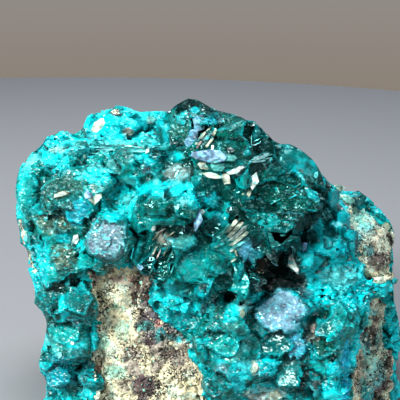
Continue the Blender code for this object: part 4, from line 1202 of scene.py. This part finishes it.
# Slivers: x and y pixel of both ends, width in pixels and colour.
slivers = {
    "creamFan": [
        (217, 246, 237, 220, 3.2, "cream"), (219.5, 247, 241.5, 223.5, 3.4, "cream"),
        (223, 247.5, 245, 228, 3.4, "white"), (227, 248.5, 247, 233, 3.2, "cream"),
        (216, 242, 229, 225, 2.4, "greyTeal"), (231, 250, 248, 238.5, 2.6, "paleCyan"),
        (214, 248, 224, 243, 2.0, "greyTeal"),
    ],
    "crownStreaks": [
        (213, 124, 206, 133, 2.2, "beige"), (216, 129, 211, 140, 2.6, "beige"), (205, 132, 196, 144, 2.6, "beige"),
        (210, 134, 203, 144, 2.2, "greyTeal"), (213, 138, 206, 147, 2.4, "beige"),
        (201, 141, 197, 148, 2.0, "blush"),
    ],
    "midStreaks": [
        (160, 240, 152, 256, 1.6, "beige"), (163, 244, 157, 258, 1.3, "blush"),
        (172, 252, 163, 272, 1.4, "greyTeal"), (168, 247, 160, 262, 1.2, "beige"),
        (157, 262, 148, 276, 1.4, "greyTeal"), (176, 258, 170, 276, 1.2, "greyTeal"),
    ],
    "browStreaks": [
        (158, 233, 166, 228, 1.3, "blush"), (166, 238, 174, 232, 1.2, "beige"), (153, 240, 158, 234, 1.2, "beige"),
    ],
    "lowStreaks": [
        (256, 385, 268, 382, 1.3, "paleCyan"), (288, 392, 296, 389, 1.3, "greyTeal"),
    ],
    # painted highlights: pale streaks along the front edge of the flat top
    "flatGlintStreaks": [
        (80, 146, 108, 148, 1.2, "paleCyan"), (98, 150, 130, 149, 1.3, "paleCyan"),
        (122, 145, 142, 148, 1.2, "white"), (84, 152, 104, 155, 1.2, "greyTeal"),
        (134, 152, 150, 151, 1.1, "paleCyan"), (70, 150, 84, 148, 1.2, "paleCyan"),
    ],
    # painted glints: short light streaks across the crown's dark cap
    "capGlintStreaks": [
        (262, 188, 268, 184, 1.0, "greyTeal"), (271, 204, 280, 199, 1.0, "teal"), (289, 199, 296, 195, 1.0, "cyan"),
        (276, 213, 286, 207, 1.0, "teal"), (297, 186, 303, 182, 1.0, "greyTeal"),
    ],
    "glassEdges": [
        (252, 128, 251, 150, 1.0, "greyTeal"), (276, 246, 292, 234, 1.4, "cyan"),
        (229, 131, 236, 128, 1.2, "greyTeal"), (232, 140, 241, 137, 1.2, "greyTeal"),
        (246, 216, 258, 224, 1.6, "greyTeal"), (250, 221, 262, 228, 1.4, "greyTeal"),
    ],
    "leftStreaks": [
        (122, 236, 118, 254, 1.2, "greyTeal"), (129, 238, 124, 256, 1.2, "greyTeal"),
        (135, 242, 131, 258, 1.1, "cyan"),
    ],
    "ring": [
        (230, 252, 234, 249, 1.6, "cream"), (235, 250, 237, 256, 1.5, "beige"), (231, 262, 236, 259, 1.5, "cream"),
    ],
}

plateLook = {"thick": 0.9, "proud": 0.28, "edge": 0.5, "rough": 0.012, "grown": 1.14}


def onPlane(px, py, centre, facing):
    line = sightLine(px, py)
    return eye + line * ((centre - eye) @ facing) / (line @ facing)


def plateMade(plan, corners, number):
    centre, facing = facePlane(surfaceTree, {"rise": plateLook["proud"], **plan})
    toEye = (eye - centre) / np.linalg.norm(eye - centre)
    rng = random.Random(number)
    points = []
    for share, back in ((0.9, 0.0), (1.0, -0.12), (1.04, -plan.get("thick", plateLook["thick"]))):
        for across, down in corners:
            grown = plateLook["grown"] * share
            corner = plan["spot"](across * grown * rng.uniform(0.96, 1.04), down * grown * rng.uniform(0.96, 1.04))
            points.append(onPlane(*corner, centre, facing) + toEye * back)
    return hullMesh(points, plateLook["edge"], plateLook["rough"], number)


def spotOf(at, size, turn):  # turns a share of the half sizes into a pixel
    spin = math.radians(turn)

    def spot(across, down):
        x, y = across * size[0], down * size[1]
        return at[0] + x * math.cos(spin) - y * math.sin(spin), at[1] + x * math.sin(spin) + y * math.cos(spin)

    return spot


def platePlans():
    for number, plan in enumerate(plates.values()):
        rng = random.Random(200 + number)
        corners = []
        for k in range(plan["sides"]):
            angle = 2 * math.pi * (k + rng.uniform(-0.25, 0.25)) / plan["sides"]
            reach = rng.uniform(0.86, 1.12)
            corners.append((reach * math.cos(angle), reach * math.sin(angle)))
        yield dict(plan, spot=spotOf(plan["at"], plan["size"], plan["turn"])), corners
    for number, (x1, y1, x2, y2, width, tint) in enumerate(row for rows in slivers.values() for row in rows):
        rng = random.Random(400 + number)
        length = math.hypot(x2 - x1, y2 - y1)
        turn = math.degrees(math.atan2(y2 - y1, x2 - x1))
        at, size = ((x1 + x2) / 2, (y1 + y2) / 2), (length / 2, width / 2)
        blunt, tip = rng.uniform(-0.4, 0.4), rng.uniform(-0.2, 0.8)
        corners = [(-1.0, blunt), (-0.8, -1.0), (0.9, -1.0), (1.0, tip), (0.8, 1.0), (-0.5, 0.9)]
        yield dict(at=at, size=size, turn=turn, lean=None, tint=tint, spot=spotOf(at, size, turn)), corners


def makePlates():
    bms, tints = [], []
    for number, (plan, corners) in enumerate(platePlans()):
        bms.append(plateMade(plan, corners, number))
        tints += [linear(plan["tint"])] * len(bms[-1].verts)
    mesh = joined(bms)
    places = placesOf(mesh)
    shade = np.clip(0.80 + 1.1 * noiseField(places, 0.9, 8.0) + 0.6 * noiseField(places, 0.45, 9.0), 0.25, 1.1)
    stain = smoothStep(0.08, 0.36, noiseField(places, 0.8, 19.0))[:, None] * 0.6
    colours = np.array(tints) * shade[:, None]
    colourAttribute(mesh, "tint", colours + stain * (linear("greyGreen") - colours))
    numberAttribute(mesh, "bulge", np.zeros(len(mesh.vertices)))
    numberAttribute(mesh, "smooth", 0.55 * np.ones(len(mesh.vertices)))
    facetShading(mesh, 24)
    return mesh


plateMesh = makePlates()
print("plates shaped")


# Crystals, grains and flakes strewn by a node tree

def crystalForm(name, seed, tall, jitter, cuts):
    # a short six-sided crystal with three faces at each end, about 1 mm across, with corners broken off
    rng = random.Random(seed)
    bm = bmesh.new()
    for end in (1, -1):
        bm.verts.new((0, 0, end * (tall / 2)))
        for k in range(6):
            angle = math.pi * k / 3
            drop = 0.275 * (1.0 if (k % 2 == 0) == (end > 0) else 0.5)
            reach = 0.5 * (1.0 + rng.uniform(-jitter, jitter))
            bm.verts.new((reach * math.cos(angle), reach * math.sin(angle), end * (tall / 2 - drop)))
    bmesh.ops.convex_hull(bm, input=bm.verts[:])
    for _ in range(cuts):
        facing = Vector((rng.gauss(0, 1), rng.gauss(0, 1), rng.gauss(0.5, 1))).normalized()
        geometry = bm.verts[:] + bm.edges[:] + bm.faces[:]
        place = facing * rng.uniform(0.30, 0.42)
        bmesh.ops.bisect_plane(bm, geom=geometry, plane_co=place, plane_no=facing, clear_outer=True)
        bmesh.ops.convex_hull(bm, input=bm.verts[:])
    loose = [v for v in bm.verts if not v.link_faces]
    bmesh.ops.delete(bm, geom=loose, context="VERTS")
    bmesh.ops.dissolve_limit(bm, angle_limit=math.radians(3.0), verts=bm.verts[:], edges=bm.edges[:])
    bmesh.ops.recalc_face_normals(bm, faces=bm.faces[:])
    mesh = bpy.data.meshes.new(name)
    bm.to_mesh(mesh)
    bm.free()
    return bpy.data.objects.new(name, mesh)


def formCollection(name, count, seed, **look):
    collection = bpy.data.collections.new(name)
    for k in range(count):
        collection.objects.link(crystalForm(f"{name}{k}", seed + k, **look))
    return collection


def makeStrewTree():
    tree = bpy.data.node_groups.new("strewn", "GeometryNodeTree")
    for label, kind in (
        ("Geometry", "Geometry"), ("Spacing", "Float"), ("Density", "Float"), ("Smallest", "Float"),
        ("Largest", "Float"), ("Lean", "Float"), ("Sink", "Float"), ("Seed", "Int"), ("Room", "String"),
        ("Forms", "Collection"), ("Finish", "Material"),
    ):
        tree.interface.new_socket(label, in_out="INPUT", socket_type="NodeSocket" + kind)
    tree.interface.new_socket("Geometry", in_out="OUTPUT", socket_type="NodeSocketGeometry")
    given = tree.nodes.new("NodeGroupInput").outputs
    room = put(tree, "GeometryNodeInputNamedAttribute", {"Name": given["Room"]}, data_type="FLOAT")
    spread = put(tree, "GeometryNodeDistributePointsOnFaces", {
        "Mesh": given["Geometry"], "Distance Min": given["Spacing"], "Density Max": given["Density"],
        "Density Factor": room.outputs["Attribute"], "Seed": given["Seed"],
    }, distribute_method="POISSON")
    chance = put(tree, "FunctionNodeRandomValue", {"Seed": given["Seed"]}, data_type="FLOAT").outputs[1]
    size = ranged(tree, maths(tree, "POWER", chance, 2.2), 0.0, 1.0, given["Smallest"], given["Largest"])
    lean = given["Lean"]
    other = maths(tree, "MULTIPLY", lean, -1.0)
    least = put(tree, "ShaderNodeCombineXYZ", {0: other, 1: other, 2: 0.0}).outputs[0]
    most = put(tree, "ShaderNodeCombineXYZ", {0: lean, 1: lean, 2: 2 * math.pi}).outputs[0]
    limits = {0: least, 1: most, "Seed": given["Seed"]}
    angles = put(tree, "FunctionNodeRandomValue", limits, data_type="FLOAT_VECTOR").outputs[0]
    tilt = put(tree, "FunctionNodeEulerToRotation", {0: angles}).outputs[0]
    upright = spread.outputs["Rotation"]
    turn = put(tree, "FunctionNodeRotateRotation", {0: upright, 1: tilt}, rotation_space="LOCAL").outputs[0]
    inward = put(tree, "FunctionNodeRotateVector", {0: (0.0, 0.0, -1.0), 1: upright}).outputs[0]
    depth = maths(tree, "MULTIPLY", size, given["Sink"])
    shift = put(tree, "ShaderNodeVectorMath", {0: inward, "Scale": depth}, operation="SCALE").outputs[0]
    sunk = put(tree, "GeometryNodeSetPosition", {"Geometry": spread.outputs["Points"], "Offset": shift})
    forms = put(tree, "GeometryNodeCollectionInfo", {
        "Collection": given["Forms"], "Separate Children": True, "Reset Children": True,
    })
    placedForms = put(tree, "GeometryNodeInstanceOnPoints", {
        "Points": sunk.outputs[0], "Instance": forms.outputs[0], "Pick Instance": True, "Rotation": turn,
        "Scale": size,
    })
    real = put(tree, "GeometryNodeRealizeInstances", {0: placedForms.outputs[0]})
    coated = put(tree, "GeometryNodeSetMaterial", {"Geometry": real.outputs[0], "Material": given["Finish"]})
    tree.links.new(coated.outputs[0], tree.nodes.new("NodeGroupOutput").inputs[0])
    return tree


strewTree = makeStrewTree()
socketNames = {item.name: item.identifier for item in strewTree.interface.items_tree if item.in_out == "INPUT"}


def strewn(surface, inputs, finish):
    obj = looseObject("strewing", surface)
    modifier = obj.modifiers.new("strew", "NODES")
    modifier.node_group = strewTree
    for key, value in inputs.items():
        modifier[socketNames[key]] = value
    modifier[socketNames["Finish"]] = materials[finish]
    return settled(obj)


def surfaceCopy(meshes):  # several surfaces in one, with their attributes
    bm = bmesh.new()
    for mesh in meshes:
        bm.from_mesh(mesh)
    whole = bpy.data.meshes.new("surface")
    bm.to_mesh(whole)
    bm.free()
    return whole


# What each kind is strewn on and with, and how it takes its colour from the ground: mixed by a share between the two
# in "mix" with one of its own colours, and lighter or darker by up to about half of "spread".
strewPlans = {
    "crystalChips": {
        "inputs": {"Spacing": 1.35, "Density": 1.3, "Smallest": 0.8, "Largest": 3.4, "Lean": 0.6, "Sink": 0.14,
                   "Seed": 3, "Room": "room",
                   "Forms": formCollection("chipForm", 10, 40, tall=0.6, jitter=0.28, cuts=2)},
        "finish": "cloudy", "slot": "dioptase", "grounds": [crustMesh, *clusterMeshes.values()],
        "source": "crystalTint", "colours": ["bottle", "teal", "deepTeal", "cyan"],
        "mix": (0.0, 0.5), "spread": 0.6, "seed": 13,
    },
    "crustGrains": {
        "inputs": {"Spacing": 1.0, "Density": 1.8, "Smallest": 0.3, "Largest": 1.5, "Lean": 0.7, "Sink": 0.12,
                   "Seed": 4, "Room": "crumbRoom",
                   "Forms": formCollection("grainForm", 6, 60, tall=0.6, jitter=0.3, cuts=1)},
        "finish": "crust", "slot": "crust", "grounds": [crustMesh],
        "source": "tint", "colours": ["cyan", "teal", "paleCyan", "brightCyan"],
        "mix": (0.0, 0.6), "spread": 0.4, "seed": 15,
    },
    "rockGrains": {
        "inputs": {"Spacing": 0.48, "Density": 7.0, "Smallest": 0.25, "Largest": 0.8, "Lean": 1.2, "Sink": 0.1,
                   "Seed": 5, "Room": "room",
                   "Forms": formCollection("rockForm", 6, 80, tall=0.9, jitter=0.2, cuts=0)},
        "finish": "rock", "slot": "host_rock", "grounds": [rockMesh],
        "source": "tint", "colours": ["cream", "blackBrown", "greyBeige", "rock", "mint", "maroon"],
        "mix": (0.0, 0.9), "spread": 0.4, "seed": 17,
    },
    # small flakes of pale crystal, their white colour a painted glint
    "paleFlakes": {
        "inputs": {"Spacing": 2.0, "Density": 0.5, "Smallest": 0.2, "Largest": 0.7, "Lean": 0.9, "Sink": 0.0,
                   "Seed": 6, "Room": "room",
                   "Forms": formCollection("flakeForm", 5, 100, tall=0.3, jitter=0.3, cuts=0)},
        "finish": "coated", "slot": "dioptase", "grounds": [crustMesh, *clusterMeshes.values()],
        "source": "crystalTint", "colours": ["white", "greyTeal", "paleCyan", "cream"],
        "mix": (0.5, 1.0), "spread": 0.2, "seed": 19,
    },
}


def perForm(mesh, seed):  # a random number for each loose form in a mesh
    edges = edgesOf(mesh)
    label = np.arange(len(mesh.vertices))
    while True:
        low = np.minimum(label[edges[:, 0]], label[edges[:, 1]])
        before = label.copy()
        np.minimum.at(label, edges[:, 0], low)
        np.minimum.at(label, edges[:, 1], low)
        if (before == label).all():
            break
    chance = np.random.default_rng(seed).random(len(label))
    return chance[label]


def tintsOf(mesh, name):
    flat = np.empty(len(mesh.vertices) * 4, np.float32)
    mesh.attributes[name].data.foreach_get("color", flat)
    return flat.reshape(-1, 4)[:, :3].astype(float)


def retint(mesh, plan):
    choices, (least, most), seed = plan["colours"], plan["mix"], plan["seed"]
    chance, pick = perForm(mesh, seed), perForm(mesh, seed + 1)
    table = np.array([linear(name) for name in choices])
    own = table[np.minimum((pick * len(choices)).astype(int), len(choices) - 1)]
    colours = tintsOf(mesh, plan["source"])
    mix = (least + (most - least) * chance ** 2)[:, None] * smoothStep(0.0, 0.12, colours[:, 1:2])  # none on the black painted shadow
    colours += mix * (own - colours)
    colours *= 1.0 + plan["spread"] * (perForm(mesh, seed + 2) - 0.45)[:, None]
    for name in [layer.name for layer in mesh.attributes if layer.name in ("tint", "crystalTint")]:
        mesh.attributes.remove(mesh.attributes[name])
    colourAttribute(mesh, "tint", np.clip(colours, 0.0, 1.0))
    numberAttribute(mesh, "bulge", np.zeros(len(mesh.vertices)))
    numberAttribute(mesh, "smooth", 0.3 * np.ones(len(mesh.vertices)))


strewnMeshes = {}
for name, plan in strewPlans.items():
    strewnMeshes[name] = strewn(surfaceCopy(plan["grounds"]), plan["inputs"], plan["finish"])
    retint(strewnMeshes[name], plan)
    setPlaces(strewnMeshes[name], trimmed(placesOf(strewnMeshes[name])))
print("crystals strewn")

# The pieces

finished("hostRock", rockMesh, "rock", "host_rock", ["host_rock"])
finished("chrysocollaCrust", crustMesh, "crust", "crust", ["host_rock"])
for node, (name, finish) in clusterPlan["pieces"].items():
    finished(name, clusterMeshes[node], finish, "dioptase", [node])
finished("coatedPlates", plateMesh, "coated", "dioptase")
for name, plan in strewPlans.items():
    finished(name, strewnMeshes[name], plan["finish"], plan["slot"])
print("pieces in place")


# Floor, light and camera

stagePlan = {"radius": 0.30, "middle": (-0.060, 0.035), "colour": (0.184, 0.187, 0.193, 1.0), "rough": 0.7}
worldPlan = {  # colours by height, and the strength of the light and of the wall that shows
    "low": (0.40, (0.245, 0.208, 0.170, 1.0)), "middle": (0.62, (0.36, 0.38, 0.42, 1.0)),
    "high": (1.0, (0.72, 0.82, 1.0, 1.0)), "light": 0.38, "wall": 0.98,
}
lights = {
    "sky": {"place": (-0.02, 0.06, 0.45), "aim": (0, 0, 0.03), "size": 0.3, "power": 2.6, "colour": (0.92, 0.96, 1.0)},
    "key": {"place": (-0.3, -0.3, 0.3), "aim": (0, 0, 0.02), "size": 0.16, "power": 4.4, "colour": (1.0, 0.99, 0.97)},
    "fill": {"place": (0.3, -0.4, 0.16), "aim": (0, 0, 0.02), "size": 0.3, "power": 1.3, "colour": (0.95, 0.98, 1.0)},
}


def makeFloor():
    bm = bmesh.new()
    bmesh.ops.create_circle(bm, cap_ends=True, radius=stagePlan["radius"], segments=256)
    bmesh.ops.translate(bm, verts=bm.verts, vec=(*stagePlan["middle"], 0.0))
    mesh = bpy.data.meshes.new("floor")
    bm.to_mesh(mesh)
    bm.free()
    floor = looseObject("floor", mesh)
    material = bpy.data.materials.new("floor")
    material.use_nodes = True
    shader = material.node_tree.nodes["Principled BSDF"]
    shader.inputs["Base Color"].default_value = stagePlan["colour"]
    shader.inputs["Roughness"].default_value = stagePlan["rough"]
    mesh.materials.append(material)


def makeWorld():
    world = bpy.data.worlds.new("studio")
    bpy.context.scene.world = world
    world.use_nodes = True
    tree = world.node_tree
    tree.nodes.clear()
    direction = put(tree, "ShaderNodeTexCoord").outputs["Generated"]
    height = put(tree, "ShaderNodeSeparateXYZ", {0: direction}).outputs["Z"]
    ramp = put(tree, "ShaderNodeValToRGB", {0: ranged(tree, height, -1.0, 1.0, 0.0, 1.0)})
    stops = ramp.color_ramp.elements
    stops[0].position, stops[0].color = worldPlan["low"]
    stops[1].position, stops[1].color = worldPlan["high"]
    stops.new(worldPlan["middle"][0]).color = worldPlan["middle"][1]
    seen = put(tree, "ShaderNodeLightPath").outputs["Is Camera Ray"]
    strength = ranged(tree, seen, 0.0, 1.0, worldPlan["light"], worldPlan["wall"])
    background = put(tree, "ShaderNodeBackground", {"Color": ramp.outputs[0], "Strength": strength})
    tree.links.new(background.outputs[0], put(tree, "ShaderNodeOutputWorld").inputs[0])


def makeLight(name, plan):
    data = bpy.data.lights.new(name, "AREA")
    data.size = plan["size"]
    data.energy = plan["power"]
    data.color = plan["colour"]
    light = looseObject(name, data)
    light.location = plan["place"]
    light.rotation_euler = (Vector(plan["aim"]) - Vector(plan["place"])).to_track_quat("-Z", "Y").to_euler()


def makeCamera():
    data = bpy.data.cameras.new("camera")
    data.lens = cameraPlan["lens"]
    data.sensor_width = cameraPlan["sensor"]
    data.clip_start = 0.01
    camera = looseObject("camera", data)
    camera.location = Vector(eye) / perMetre
    camera.rotation_euler = (math.radians(90.0 - cameraPlan["elevation"]), 0.0, 0.0)
    bpy.context.scene.camera = camera


makeFloor()
makeWorld()
for name, plan in lights.items():
    makeLight(name, plan)
makeCamera()
bpy.context.scene.view_settings.view_transform = "Standard"
bpy.context.scene.view_settings.look = "Medium High Contrast"
print("stage set")
